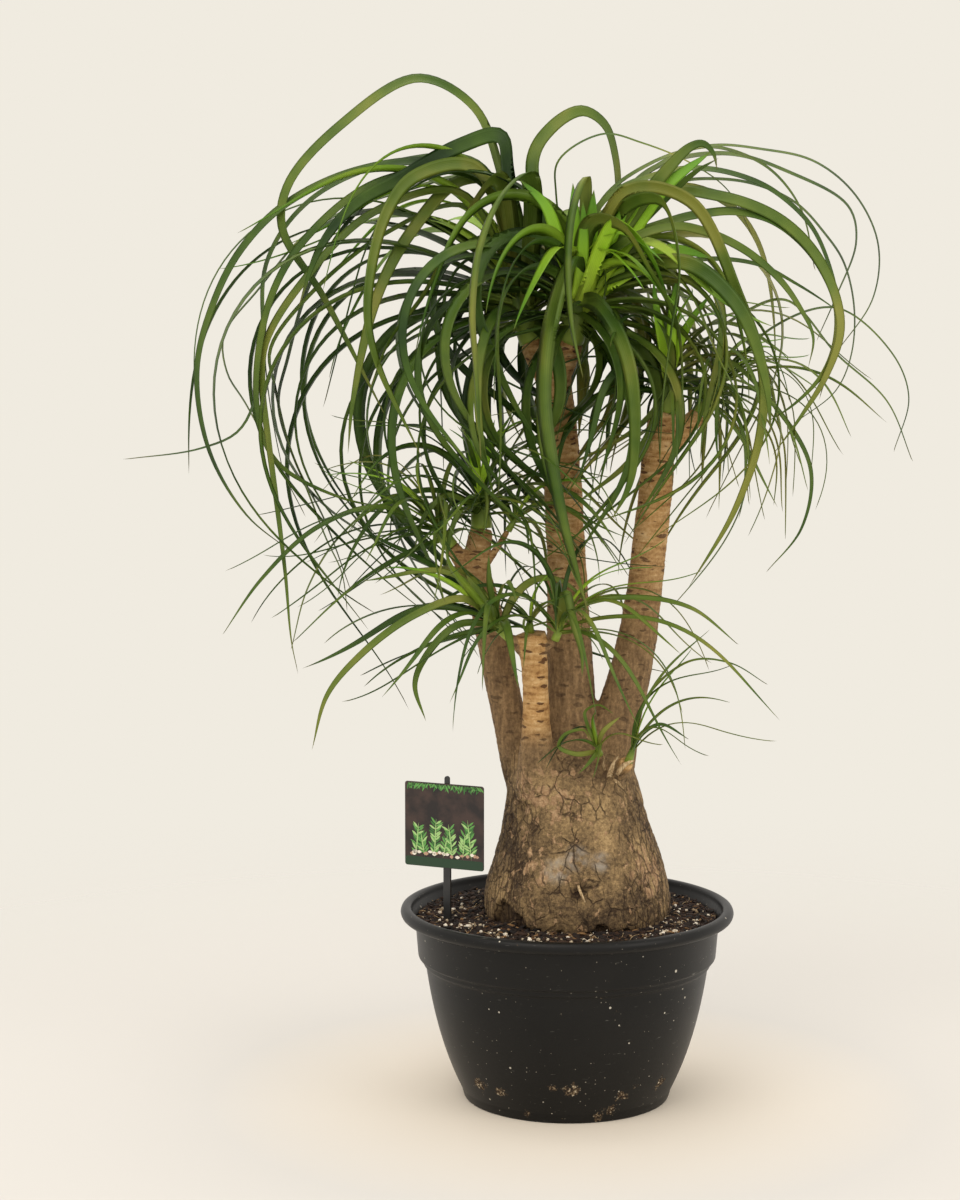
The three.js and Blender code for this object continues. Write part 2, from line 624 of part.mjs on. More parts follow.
// Every grown leaf of a head, youngest first, in the golden-angle order of its growing point.
function grownLeaves(head) {
  const draw = seeded(head.seed);
  const between = (low, high) => lerp(low, high, draw());
  const axis = vector(head.tip).sub(heartFoot(head).foot).normalize();
  const lean = new THREE.Quaternion().setFromUnitVectors(UP, axis);
  const { depth = 1, front = 1, flatten = 0, right = 1 } = head;
  const leaves = Array.from({ length: head.leaves }, (_, i) => {
    const age = (i + 0.5) / head.leaves;
    const turn = i * GOLDEN_ANGLE + between(-AZIMUTH_SPREAD, AZIMUTH_SPREAD);
    const azimuth = turn + flatten * Math.sin(2 * turn);
    const launch = degToRad(lerp(...head.launch, age ** 0.9) + between(-LAUNCH_SPREAD, LAUNCH_SPREAD));
    const outward = new THREE.Vector3().setFromSphericalCoords(1, launch, azimuth);
    const direction = new THREE.Vector3(outward.x, outward.z, outward.y).applyQuaternion(lean);
    const polar = Math.acos(clamp(direction.z, -1, 1));
    const bent = smoothstep(age, -0.1, 0.45);
    const fall = degToRad(lerp(...head.fall, bent) + between(-FALL_SPREAD, FALL_SPREAD));
    const heading = Math.atan2(direction.y, direction.x);
    const shorter = lerp(1, depth, Math.sin(heading) ** 2) * lerp(1, right, Math.max(0, Math.cos(heading)));
    return {
      age,
      inFront: age > FRONT_AGES[0] && age < FRONT_AGES[1] && Math.cos(azimuth) < -front,
      azimuth: heading,
      launch: polar,
      fall: Math.max(fall, polar + 0.2),
      settled: between(...SETTLED),
      curl: between(-CURL_SPREAD, CURL_SPREAD),
      sway: between(-SWAY_SPREAD, SWAY_SPREAD),
      length: lerp(...head.length, fullness(age)) * between(...LENGTH_SPREAD) * shorter,
      width: between(...head.width),
      roll: between(-ROLL_SPREAD, ROLL_SPREAD),
      twist: between(-TWIST_SPREAD, TWIST_SPREAD),
    };
  });
  return leaves.filter((leaf) => !leaf.inFront);
}

// The heart's foot lies flat over the cut end of its stub, a seat gap away.
function heartFoot(head) {
  const [before, end] = TRUNKS[head.on].slice(-2).map((stop) => vector(stop.slice(0, 3)));
  const along = end.clone().sub(before).normalize();
  return { foot: end.addScaledVector(along, SEAT_GAP), along };
}

// Where a leaf of an age leaves the heart: old ones low down, young ones near its tip.
function rootOf(head, age) {
  return heartFoot(head).foot.lerp(vector(head.tip), lerp(YOUNGEST_ROOT_AT, OLDEST_ROOT_AT, age));
}

function heartSolid(head) {
  const { foot, along } = heartFoot(head);
  const tip = vector(head.tip);
  const collar = foot.clone().addScaledVector(along, 0.3 * foot.distanceTo(tip));
  const [footRadius, tipRadius] = head.radius;
  const stops = [
    [...foot.toArray(), footRadius],
    [...collar.toArray(), footRadius],
    [...tip.toArray(), tipRadius],
  ];
  return solidFrom(stem(stops, HEART_SIDES));
}

// Small changes that are tried in turn, to bend a leaf clear of the other heads and the wood.
const BENDS = [0, 1, -1, 2, -2, 3, -3, 4, -4, 5, -5, 6, -6, 7, -7];
const BEND_AZIMUTH = degToRad(5);
const BEND_LAUNCH = degToRad(2);
const BEND_DEPTH = 6;

function bentLeaf(leaf, bend) {
  return { ...leaf, azimuth: leaf.azimuth + bend * BEND_AZIMUTH, launch: leaf.launch + bend * BEND_LAUNCH };
}

function bentPlaces(places, bend) {
  return places.map(([x, y, z], i) => [x, y + (bend * BEND_DEPTH * (i + 1)) / places.length, z]);
}

const fixedSolids = {
  pot: solidFrom(potGeometry()),
  soil: soilSolid(),
  trunk: trunkSolid(),
  label_stake: solidFrom(stakeGeometry()),
  label_card: solidFrom(cardGeometry()),
};
const heads = Object.fromEntries(Object.entries(HEADS).map(([name, head]) => [name, heartSolid(head)]));

// Everything that a head's leaves have to stay clear of.
function othersThan(name) {
  let rest = Object.values(fixedSolids).reduce((sum, solid) => sum.add(solid));
  for (const [other, solid] of Object.entries(heads)) {
    if (other !== name) rest = rest.add(solid);
  }
  return rest;
}

// The least height of any triangle of a solid over its longest side.
function thinnestFace(solid) {
  const { vertProperties, triVerts } = solid.getMesh();
  const corner = (i) => new THREE.Vector3().fromArray(vertProperties, 3 * triVerts[i]);
  let thinnest = Infinity;
  for (let i = 0; i < triVerts.length; i += 3) {
    const face = new THREE.Triangle(corner(i), corner(i + 1), corner(i + 2));
    const sides = [face.a.distanceTo(face.b), face.b.distanceTo(face.c), face.c.distanceTo(face.a)];
    thinnest = Math.min(thinnest, (2 * face.getArea()) / Math.max(...sides));
  }
  return thinnest;
}

// Adds the first of a leaf's bends that is clear of the rest, crosses few leaves of its own head
// and cuts no sliver from them, or else the one of those that crosses fewest. A leaf with no such
// bend is left out.
function addClearLeaf(name, rest, bladeOfBend) {
  let best = null;
  for (const bend of BENDS) {
    if (!rest.intersect(bladeOfBend(bend, CLEARANCE)).isEmpty()) continue;
    const joined = heads[name].add(bladeOfBend(bend, 0));
    if (best && joined.numTri() >= best.numTri()) continue;
    if (thinnestFace(joined) < THINNEST_FACE) continue;
    best = joined;
    if (best.numTri() - heads[name].numTri() <= MOST_NEW_FACES) break;
  }
  if (best) heads[name] = best;
}

function addPlacedLeaf([name, width, roll, places], root) {
  const bladeOfBend = (bend, grow) =>
    blade(placedPath(root, bentPlaces(places, bend)), width, degToRad(roll), 0, true, grow);
  addClearLeaf(name, othersThan(name), bladeOfBend);
}

for (const [i, leaf] of PLACED_LEAVES.entries()) {
  addPlacedLeaf(leaf, rootOf(HEADS[leaf[0]], (i * PLACED_ROOT_STEP) % 1));
}
for (const leaf of YOUNG_LEAVES) {
  const head = HEADS[leaf[0]];
  addPlacedLeaf(leaf, heartFoot(head).foot.lerp(vector(head.tip), ROSETTE_ROOT_AT));
}
for (const [name, head] of Object.entries(HEADS)) {
  const rest = othersThan(name);
  for (const leaf of grownLeaves(head)) {
    const root = rootOf(head, leaf.age);
    const bladeOfBend = (bend, grow) =>
      blade(grownPath(root, bentLeaf(leaf, bend)), leaf.width, leaf.roll, leaf.twist, false, grow);
    addClearLeaf(name, rest, bladeOfBend);
  }
}

// ---- the scene ----
const finish = (color, roughness) => new THREE.MeshStandardMaterial({ color, roughness, metalness: 0 });
const MATERIALS = {
  pot: finish("#2b2b2a", 0.5),
  soil: finish("#3a2a20", 0.95),
  trunk: finish("#8a7358", 0.85),
  label_stake: finish("#1c1c1e", 0.4),
  label_card: finish("#2e2622", 0.35),
};
const LEAF_MATERIAL = finish("#4f7a2c", 0.4);

const plant = new THREE.Group();
for (const [name, solid] of Object.entries({ ...fixedSolids, ...heads })) {
  const mesh = new THREE.Mesh(geometryFrom(wholeBody(solid)), MATERIALS[name] ?? LEAF_MATERIAL);
  mesh.name = name;
  plant.add(mesh);
}

export default plant;
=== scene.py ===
# %% [markdown]
# # A potted ponytail palm
# A ponytail palm stores water in a swollen woody base, the caudex. From it rise bare trunks, and
# each growing point at their ends carries a fountain of long strap leaves. This one stands in a
# black plastic bulb pan of bark mix, with a plant label beside it.
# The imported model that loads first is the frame: every piece below is made at its real place and
# size in that frame, in millimetres, and is scaled to metres when its mesh is made.

import math

import bpy
import numpy as np
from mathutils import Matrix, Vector, noise


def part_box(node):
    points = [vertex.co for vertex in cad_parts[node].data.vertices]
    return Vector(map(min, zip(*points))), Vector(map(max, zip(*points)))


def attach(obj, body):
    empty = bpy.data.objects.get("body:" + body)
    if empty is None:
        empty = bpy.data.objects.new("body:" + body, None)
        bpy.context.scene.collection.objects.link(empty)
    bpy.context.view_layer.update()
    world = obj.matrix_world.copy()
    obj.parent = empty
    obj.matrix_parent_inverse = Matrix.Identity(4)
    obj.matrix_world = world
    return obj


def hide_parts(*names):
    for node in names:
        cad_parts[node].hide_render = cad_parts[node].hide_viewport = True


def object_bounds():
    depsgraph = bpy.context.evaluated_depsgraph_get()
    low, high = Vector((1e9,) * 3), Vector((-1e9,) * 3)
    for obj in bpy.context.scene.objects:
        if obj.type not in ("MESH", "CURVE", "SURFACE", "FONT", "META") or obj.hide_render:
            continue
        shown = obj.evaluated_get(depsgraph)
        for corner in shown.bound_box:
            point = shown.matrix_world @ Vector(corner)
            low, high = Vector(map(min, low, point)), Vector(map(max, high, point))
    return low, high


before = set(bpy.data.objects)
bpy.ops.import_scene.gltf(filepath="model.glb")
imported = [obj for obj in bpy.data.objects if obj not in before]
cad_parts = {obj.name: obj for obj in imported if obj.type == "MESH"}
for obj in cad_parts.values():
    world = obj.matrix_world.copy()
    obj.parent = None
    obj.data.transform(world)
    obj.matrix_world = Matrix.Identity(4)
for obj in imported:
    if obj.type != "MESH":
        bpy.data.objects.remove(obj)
cad_low, cad_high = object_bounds()
MM = 0.001
print("box of the solids in mm:", [round(v / MM) for v in (*cad_low, *cad_high)])

# %% [markdown]
# ## Small tools
# Blender mixes light in linear values, so each colour is written as the sRGB hex that an eye
# reads and one function turns it to linear. Another adds a shader node, sets what is named and
# joins what is given. The rest make meshes from points in millimetres.


# %% Colours and nodes
def linear(hex_colour):
    parts = [int(hex_colour[i : i + 2], 16) / 255 for i in (1, 3, 5)]
    return [c / 12.92 if c <= 0.04045 else ((c + 0.055) / 1.055) ** 2.4 for c in parts] + [1.0]


def every(size):
    """The scale of a pattern that repeats every size mm."""
    return 1 / (size * MM)


def node(kind, *values, stops=None, **settings):
    """Adds a node to the tree in hand. Values go to its sockets in order, and stops to its ramp.

    A setting that starts with a capital is a socket, and any other is a property. A value is a
    number, a hex colour, another node's socket, or a node, whose first output in use it takes.
    """
    made = tree.nodes.new("ShaderNode" + kind)
    for name in filter(str.islower, settings):
        setattr(made, name, settings[name])
    sockets = [socket for socket in made.inputs if socket.enabled]
    named = [name for name in settings if not name.islower()]
    sockets = sockets[: len(values)] + [made.inputs[name.replace("_", " ")] for name in named]
    for socket, value in zip(sockets, [*values, *map(settings.get, named)]):
        if isinstance(value, bpy.types.Node):
            value = next(output for output in value.outputs if output.enabled)
        if isinstance(value, bpy.types.NodeSocket):
            tree.links.new(value, socket)
        else:
            socket.default_value = linear(value) if isinstance(value, str) else value
    for i, (place, colour) in enumerate((stops or {}).items()):
        element = made.color_ramp.elements[i] if i < 2 else made.color_ramp.elements.new(place)
        element.position, element.color = place, linear(colour)
    return made


def new_object(name, data):
    made = bpy.data.objects.new(name, data)
    bpy.context.scene.collection.objects.link(made)
    return made


def new_material(name):
    material = bpy.data.materials.new(name)
    material.use_nodes = True
    material.node_tree.nodes.clear()
    return material, material.node_tree


print("black is", linear("#000000"), "and white is", linear("#ffffff"))


# %% Meshes
def make_piece(name, points, faces, material, slot, stands_for=(), marks=None, smooth=True):
    """A mesh piece from points in mm. marks are numbers at its points, for its material to read."""
    mesh = bpy.data.meshes.new(name)
    mesh.from_pydata((np.asarray(points, float) * MM).tolist(), [], faces)
    for mark, values in (marks or {}).items():
        attribute = mesh.attributes.new(mark, "FLOAT", "POINT")
        attribute.data.foreach_set("value", np.asarray(values, np.float32))
    if smooth:
        mesh.shade_smooth()
    piece = new_object(name, mesh)
    piece.data.materials.append(material)
    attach(piece, "root")
    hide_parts(*stands_for)
    print(name, "has", len(mesh.vertices), "points and", len(mesh.polygons), "faces")
    return piece


def smoothstep(value, low, high):
    t = np.clip((value - low) / (high - low), 0, 1)
    return t * t * (3 - 2 * t)


def distance(points, place):
    return np.linalg.norm(np.asarray(points) - np.asarray(place), axis=1)


def mix(low, high, share):
    return low + (high - low) * share


def seeded(seed):
    """A repeatable stream of numbers from 0 to 1, the same one as in the solids' source."""
    state = seed

    def draw():
        nonlocal state
        state = (state + 0x6D2B79F5) & 0xFFFFFFFF
        t = ((state ^ (state >> 15)) * (state | 1)) & 0xFFFFFFFF
        t ^= (t + (((t ^ (t >> 7)) * (t | 61)) & 0xFFFFFFFF)) & 0xFFFFFFFF
        return ((t ^ (t >> 14)) & 0xFFFFFFFF) / 2**32

    return draw


def joined(parts):
    """One list of points and one of faces from pairs of them."""
    points, faces = [], []
    for more_points, more_faces in parts:
        faces += [tuple(v + len(points) for v in face) for face in more_faces]
        points += list(more_points)
    return points, faces


def on_circle(radius, angle, x=0, y=0):
    return x + radius * math.cos(angle), y + radius * math.sin(angle)


def ring_faces(rings, sides):
    """Quads between rings of points, with the first and last ring left open."""
    return [
        (r * sides + s, r * sides + (s + 1) % sides, (r + 1) * sides + (s + 1) % sides, (r + 1) * sides + s)
        for r in range(rings - 1)
        for s in range(sides)
    ]


print("first draws of seed 3:", [round(v, 3) for v in map(lambda f: f(), [seeded(3)] * 3)])

# %% [markdown]
# ## Camera and studio
# The camera stands 2.4 m in front of the plant at the height of its upper trunks and looks 6
# degrees down. Its lens is long, 78 mm over a sensor 36 mm high, so it sees 1.1 m there.
# The backdrop of a photo studio is a paper sweep. Here the floor fades into a world of the same
# cream, so that no edge shows, and it can be seen round from every side. Round the pot the floor
# is painted warmer and lighter: painted bounce light from bark and pot, which also lightens the
# pot's shadow.

# %% Camera
CAMERA_PLACE = (0, -2.423, 0.741)
CAMERA_DOWN = math.radians(6.29)
CAMERA_LEFT = math.radians(1.95)

camera_data = bpy.data.cameras.new("camera")
camera_data.sensor_fit = "VERTICAL"
camera_data.sensor_height = 36
camera_data.lens = 78
camera = new_object("camera", camera_data)
camera.location = CAMERA_PLACE
camera.rotation_euler = (math.pi / 2 - CAMERA_DOWN, 0, CAMERA_LEFT)
bpy.context.scene.camera = camera
print("camera at", CAMERA_PLACE)

# %% World and floor
PAPER = "#f0ebe0"
FLOOR_RADIUS = 6.0

world = bpy.data.worlds.new("studio")
world.use_nodes = True
tree = world.node_tree
tree.nodes.clear()
seen = node("Background", PAPER, 1)
fill = node("Background", "#fcf7f0", 1)
ray = node("LightPath")
sky = node("MixShader", ray, fill, seen)
node("OutputWorld", sky)
bpy.context.scene.world = world
bpy.context.scene.view_settings.view_transform = "Standard"

paper, tree = new_material("matt_paper_sweep")
place = node("NewGeometry")
away = node("VectorMath", place, operation="LENGTH")
fade = node("MapRange", away, 0.3, 1.5, interpolation_type="SMOOTHSTEP")
# Painted bounce light: near the pot the floor's colour is warmer and lighter.
painted_bounce_share = node("MapRange", away, 0.1, 0.34)
painted_bounce_tint = node("Mix", painted_bounce_share, "#eee4d4", "#d5d3cf", data_type="RGBA")
matt = node("BsdfDiffuse", painted_bounce_tint)
clear = node("BsdfTransparent")
faded = node("MixShader", fade, matt, clear)
node("OutputMaterial", faded)

bpy.ops.mesh.primitive_circle_add(vertices=64, radius=FLOOR_RADIUS, fill_type="NGON")
floor = bpy.context.object
floor.name = "floor"
floor.data.materials.append(paper)
print("floor radius", FLOOR_RADIUS, "m")


# %% Lights
def softbox(name, place, size, watts):
    data = bpy.data.lights.new(name, "AREA")
    data.color, data.shape, data.size, data.energy = linear("#fff8f0")[:3], "DISK", size, watts
    lamp = new_object(name, data)
    lamp.location = place
    lamp.rotation_euler = (Vector((0, 0, 0.5)) - Vector(place)).to_track_quat("-Z", "Y").to_euler()


softbox("key_softbox", (-1.0, -2.0, 2.6), 2.4, 31)
softbox("fill_softbox", (2.2, -1.7, 1.5), 2.2, 20)
softbox("top_softbox", (-0.2, 0.5, 2.9), 2.2, 20)
print("three softboxes")

# %% [markdown]
# ## The pot
# The bulb pan is injection-moulded polypropylene: black, satin, with a rolled lip, a collar and a
# step below it. It is a turned shape, so its profile is drawn once and spun. A sharp corner never
# leaves a mould: each one is cut back to a small arc first, and the arcs catch the light.

# %% Pot sizes
pot_low, pot_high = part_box("pot")
POT_HEIGHT = (pot_high.z - pot_low.z) / MM
LIP_RADIUS = (pot_high.x - pot_low.x) / 2 / MM
LIP_INNER = LIP_RADIUS - 11
LIP_HEIGHT = 12
COLLAR_TOP, COLLAR_LOW, COLLAR_FOOT = 144, 141, 135.5
BAND_RADIUS, BAND_FOOT, BODY_TOP = 136.5, 129, 134
BELLY = (124.5, 58.5)
FOOT_RADIUS, FOOT_HEIGHT, BASE_RADIUS = 100, 9, 97.5
WALL, FLOOR_THICKNESS = 2.6, 3.5
MOUND_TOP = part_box("soil")[1].z / MM
SOIL_TOP = MOUND_TOP - 8
POT_STEPS = 192
print("height, lip radius and top of the mix:", [round(v, 1) for v in (POT_HEIGHT, LIP_RADIUS, MOUND_TOP)])


# %% Pot mesh
def body_curve(offset, steps):
    """The belly: a quadratic curve from the foot to the band."""
    start = np.array([FOOT_RADIUS + 1 - offset, FOOT_HEIGHT + 2])
    middle = np.array([BELLY[0] - offset, BELLY[1]])
    end = np.array([BODY_TOP - offset, BAND_FOOT - 1])
    ts = np.linspace(0, 1, steps)[:, None]
    return ((1 - ts) ** 2 * start + 2 * ts * (1 - ts) * middle + ts**2 * end).tolist()


def soft_corners(profile, cut):
    """Cuts each corner back by up to cut mm and puts a three-point arc there."""
    rounded = [profile[0]]
    for before, corner, after in zip(profile, profile[1:], profile[2:]):
        before, corner, after = map(np.array, (before, corner, after))
        start = corner + (before - corner) * min(0.4, cut / np.linalg.norm(before - corner))
        end = corner + (after - corner) * min(0.4, cut / np.linalg.norm(after - corner))
        rounded += [start.tolist(), (0.25 * start + 0.5 * corner + 0.25 * end).tolist(), end.tolist()]
    return rounded + [profile[-1]]


def turned(profile, steps):
    """Spins a profile of (radius, height) that starts and ends on the axis."""
    angles = np.arange(steps) * 2 * math.pi / steps
    points = [(r * math.cos(a), r * math.sin(a), z) for r, z in profile[1:-1] for a in angles]
    rings = len(profile) - 2
    faces = ring_faces(rings, steps)
    points += [(0, 0, profile[0][1]), (0, 0, profile[-1][1])]
    last = (rings - 1) * steps
    for s in range(steps):
        faces.append((len(points) - 2, (s + 1) % steps, s))
        faces.append((len(points) - 1, last + s, last + (s + 1) % steps))
    return points, faces


lip_middle = (LIP_RADIUS + LIP_INNER) / 2
lip_foot = POT_HEIGHT - LIP_HEIGHT
outside = [
    (0, 0), (BASE_RADIUS, 0), (FOOT_RADIUS, FOOT_HEIGHT), *body_curve(0, 16), (BAND_RADIUS, BAND_FOOT),
    (BAND_RADIUS + 0.6, COLLAR_FOOT - 1), (COLLAR_LOW, COLLAR_FOOT), (COLLAR_TOP, lip_foot),
    (lip_middle + 1, lip_foot), (LIP_RADIUS - 1.5, lip_foot + 2), (LIP_RADIUS, lip_foot + 6),
    (LIP_RADIUS - 1.5, POT_HEIGHT - 1.6), (lip_middle, POT_HEIGHT), (LIP_INNER + 1, POT_HEIGHT - 1),
]
inside = [
    (LIP_INNER, SOIL_TOP + 8), (COLLAR_TOP - WALL, SOIL_TOP), (COLLAR_LOW - WALL, COLLAR_FOOT + 1),
    (BODY_TOP - WALL, BAND_FOOT), *body_curve(WALL, 8)[::-1][1:], (FOOT_RADIUS - WALL, FLOOR_THICKNESS),
    (0, FLOOR_THICKNESS),
]
pot_points, pot_faces = turned(soft_corners(outside + inside, 1.6), POT_STEPS)
print("pot profile of", len(outside + inside), "corners")

# %% Where the pot is soiled and scuffed: places in mm and how far they spread
DIRT_PATCHES = [
    ((-80, -74, 29), 15), ((-61, -91, 27), 11), ((5, -112, 36), 13), ((-12, -111, 39), 8),
    ((51, -94, 26), 12), ((40, -92, 13), 12), ((87, -67, 31), 13), ((29, -95, 6), 10),
    ((-36, -94, 8), 7), ((62, -88, 36), 9), ((20, 118, 40), 22), ((-70, 84, 22), 15),
]
SCUFFS = [((-9, -142, 147), 17), ((121, -75, 147), 22), ((-60, -128, 150), 14), ((60, 128, 120), 24)]
HANGER_HOLES = [(135.2, -45.2, 155), (-135.2, 45.2, 155)]
HANGER_HOLE_RADIUS = 2.3


def spots(points, places):
    """1 at each place, 0 from its own spread on."""
    return np.max([1 - smoothstep(distance(points, place), 0, spread) for place, spread in places], axis=0)


pot_marks = {"dirt": spots(pot_points, DIRT_PATCHES), "scuff": spots(pot_points, SCUFFS)}
print("soiled points:", int((pot_marks["dirt"] > 0.1).sum()))

# %% [markdown]
# ### Black polypropylene
# Moulded polypropylene has an IOR near 1.49 and a satin skin: a soft, broad highlight with a fine
# orange-peel unevenness. This pot has been used: specks of perlite dust cling to it, damp mix has
# dried in a few patches low down, and the collar has pale scuffs. The patches and scuffs are where
# the marks on the mesh say, and noise gives them their ragged edges.

# %% Pot material: specks and dirt
SPECK_SPACING = (10.0, 4.5)
SPECK_COLOURS = ("#b9b3a4", "#7d776b")

plastic, tree = new_material("moulded_black_polypropylene")
place = node("TexCoord").outputs["Object"]
dirt_mark, scuff_mark = (node("Attribute", attribute_name=name).outputs["Fac"] for name in ("dirt", "scuff"))
haze = node("TexNoise", place, every(90), 6)
drift = node("TexNoise", place, every(45), 3)
colour = node("ValToRGB", haze, stops={0.35: "#070706", 0.65: "#100f0d"})
for spacing, speck_colour in zip(SPECK_SPACING, SPECK_COLOURS):
    cells = node("TexVoronoi", place, every(spacing))
    varied = node("SeparateColor", cells.outputs["Color"])
    size = node("Math", varied, drift, operation="MULTIPLY")
    size = node("MapRange", size, 0.16, 0.6, 0, 0.15)
    speck = node("Math", cells.outputs["Distance"], size, operation="LESS_THAN")
    colour = node("Mix", speck, colour, speck_colour, data_type="RGBA")
patch = node("TexNoise", place, every(7), 8, 0.75)
patchy = node("Math", dirt_mark, 0.34, patch, operation="MULTIPLY_ADD")
soiled = node("MapRange", patchy, 0.66, 0.72)
grain = node("TexNoise", place, every(2), 4)
dirt = node("ValToRGB", grain, stops={0.4: "#241b14", 0.52: "#4b3c2c", 0.62: "#87775e", 0.7: "#d6ccb6"})
colour = node("Mix", soiled, colour, dirt, data_type="RGBA")
print("specks", SPECK_SPACING, "mm apart")

# %% Pot material: scuffs, painted hanger holes and gloss
flat = node("Mapping", place, Scale=(1, 1, 7))
streak = node("TexNoise", flat, every(11), 7)
streaky = node("Math", scuff_mark, 0.2, streak, operation="MULTIPLY_ADD")
scuffed = node("MapRange", streaky, 0.68, 0.78, 0, 0.5)
colour = node("Mix", scuffed, colour, "#77766f", data_type="RGBA")
# The hanger holes are painted: a near-black disc where the shade inside each hole would be, with no hole in
# the mesh.
for hole in HANGER_HOLES:
    middle = tuple(v * MM for v in hole)
    gap = node("VectorMath", place, middle, operation="DISTANCE")
    painted_hole_shade = node("Math", gap, HANGER_HOLE_RADIUS * MM, operation="LESS_THAN")
    colour = node("Mix", painted_hole_shade, colour, "#020202", data_type="RGBA")
peel = node("TexNoise", place, every(1.4), 2)
raised = node("Math", soiled, 1.5, peel, operation="MULTIPLY_ADD")
bump = node("Bump", Height=raised, Strength=0.15, Distance=0.3 * MM)
rough_wall = node("MapRange", haze, 0, 1, 0.3, 0.54)
roughness = node("Math", soiled, 0.4, rough_wall, operation="MULTIPLY_ADD")
satin = dict(Roughness=roughness, IOR=1.49, Specular_IOR_Level=0.26)
node("OutputMaterial", node("BsdfPrincipled", Base_Color=colour, Normal=bump, **satin))
make_piece("bulb_pan", pot_points, pot_faces, plastic, "pot_plastic", ["pot"], pot_marks)

# %% [markdown]
# ## The wood
# The caudex and its trunks are one living piece, so they are blended like clay: each limb is a
# tapered tube, a voxel remesh melts the tubes into one skin, and a few rounds of smoothing fill
# the crotches. Bark is then raised in the mesh itself, from noise that is stretched along the
# limb: vertical cracks on the caudex, and on the trunks the level rings that old leaves left.

# %% Limbs, each row x, y, z and radius in mm
CAUDEX = [
    (10, -2, 112, 68), (10, -2, 132, 84), (10, -2, 176, 88), (10, -1, 194, 88), (10, 0, 214, 84),
    (9, 0, 234, 77), (8, 0, 254, 71), (6, 0, 284, 65), (3, 0, 312, 59), (1, 0, 332, 47),
    (0, 0, 346, 26),
]
TRUNKS = {
    "centre": [
        (4, 0, 296, 30), (3, 2, 340, 26), (3, 3, 384, 22.6), (1, 4, 436, 21), (-1, 5, 497, 18.7),
        (-3, 5, 542, 18), (-6, 5, 592, 17.7), (-11, 4, 651, 17.2), (-16, 2, 690, 16.5),
        (-17, 2, 702, 13),
    ],
    "crown_prong": [(-12, 1, 680, 13), (-4, -4, 702, 13), (2, -8, 716, 12.5)],
    "crown_left_prong": [(-19, 3, 682, 13), (-28, 9, 702, 12.5), (-34, 14, 714, 12)],
    "left": [
        (-26, 2, 280, 28), (-43, 6, 322, 20.5), (-54, 9, 354, 16), (-61, 10, 388, 15.5),
        (-68, 8, 428, 16), (-78, 5, 468, 14.5), (-87, 2, 500, 14), (-84, 4, 524, 12),
        (-81, 4, 541, 11),
    ],
    "left_stub": [(-88, 0, 494, 11), (-98, -4, 510, 8.5), (-109, -8, 525, 7)],
    "left_twig": [(-82, -2, 502, 5), (-68, -8, 520, 3.4), (-56, -11, 540, 3)],
    "stump": [
        (-24, -32, 296, 25), (-28, -42, 330, 17), (-29, -45, 358, 13.6), (-29, -46, 383, 12.4),
        (-30, -47, 409, 12), (-32, -48, 434, 13), (-34, -49, 449, 14.4),
    ],
    "stump_left_stub": [(-38, -48, 428, 6), (-46, -52, 437, 4.6), (-54, -56, 446, 4.2)],
    "stump_right_stub": [(-28, -49, 428, 6), (-19, -52, 436, 4), (-12, -54, 443, 3.4)],
    "right": [
        (24, 0, 286, 36), (37, 0, 332, 29), (48, -2, 366, 21.5), (57, -3, 400, 20),
        (65, -3, 437, 18.6), (71, -3, 480, 16.6), (76, -3, 528, 16.2), (81, -3, 578, 15.9),
        (84, -3, 620, 15), (90, -4, 650, 14.5),
    ],
    "right_stub": [(88, 0, 612, 12), (104, 2, 631, 10), (121, 4, 648, 8.5)],
    "shoulder_front_stub": [(20, -30, 318, 9), (27, -52, 332, 6), (29, -58, 338, 5)],
    "shoulder_right_stub": [(40, -34, 312, 12), (50, -46, 322, 8.5), (56, -51, 329, 7)],
}
LIMBS = {"caudex": CAUDEX, **TRUNKS}
print(len(LIMBS), "limbs")


# %% Tubes melted into one skin
VOXEL = 1.9
MELT_ROUNDS = 7


def tube(stops, sides):
    """A closed tube through stops, square to its own path."""
    path = [Vector(stop[:3]) for stop in stops]
    points = []
    for i, (centre, stop) in enumerate(zip(path, stops)):
        along = (path[min(i + 1, len(path) - 1)] - path[max(i - 1, 0)]).normalized()
        across = (Vector((1, 0, 0)) - along * along.x).normalized()
        deep = along.cross(across)
        for s in range(sides):
            angle = 2 * math.pi * s / sides
            points.append(centre + stop[3] * (across * math.cos(angle) + deep * math.sin(angle)))
    faces = ring_faces(len(stops), sides)
    faces.append(tuple(range(sides))[::-1])
    faces.append(tuple((len(stops) - 1) * sides + s for s in range(sides)))
    return [tuple(p) for p in points], faces


def fine_stops(stops, step):
    """The same limb with a stop at every step mm, on a smooth line."""
    table = np.array(stops, float)
    run = np.r_[0, np.cumsum(np.linalg.norm(np.diff(table[:, :3], axis=0), axis=1))]
    at = np.linspace(0, run[-1], max(3, int(run[-1] / step)))
    fine = np.stack([np.interp(at, run, table[:, k]) for k in range(4)], axis=1)
    for _ in range(3):
        fine[1:-1] = 0.25 * fine[:-2] + 0.5 * fine[1:-1] + 0.25 * fine[2:]
    return fine.tolist()


limb_points, limb_faces = joined(tube(fine_stops(stops, 6), 40) for stops in LIMBS.values())
rough = bpy.data.meshes.new("limbs")
rough.from_pydata([tuple(c * MM for c in p) for p in limb_points], [], limb_faces)
limbs = new_object("limbs", rough)
melt = limbs.modifiers.new("melt", "REMESH")
melt.mode = "VOXEL"
melt.voxel_size = VOXEL * MM
even = limbs.modifiers.new("even", "SMOOTH")
even.iterations = MELT_ROUNDS
even.factor = 0.5
melted = bpy.data.meshes.new_from_object(limbs.evaluated_get(bpy.context.evaluated_depsgraph_get()))
bpy.data.objects.remove(limbs)
skin_points = np.array([v.co for v in melted.vertices]) / MM
skin_normals = np.array([v.normal for v in melted.vertices])
skin_faces = [tuple(p.vertices) for p in melted.polygons]
print("melted skin:", len(skin_points), "points,", len(skin_faces), "faces")


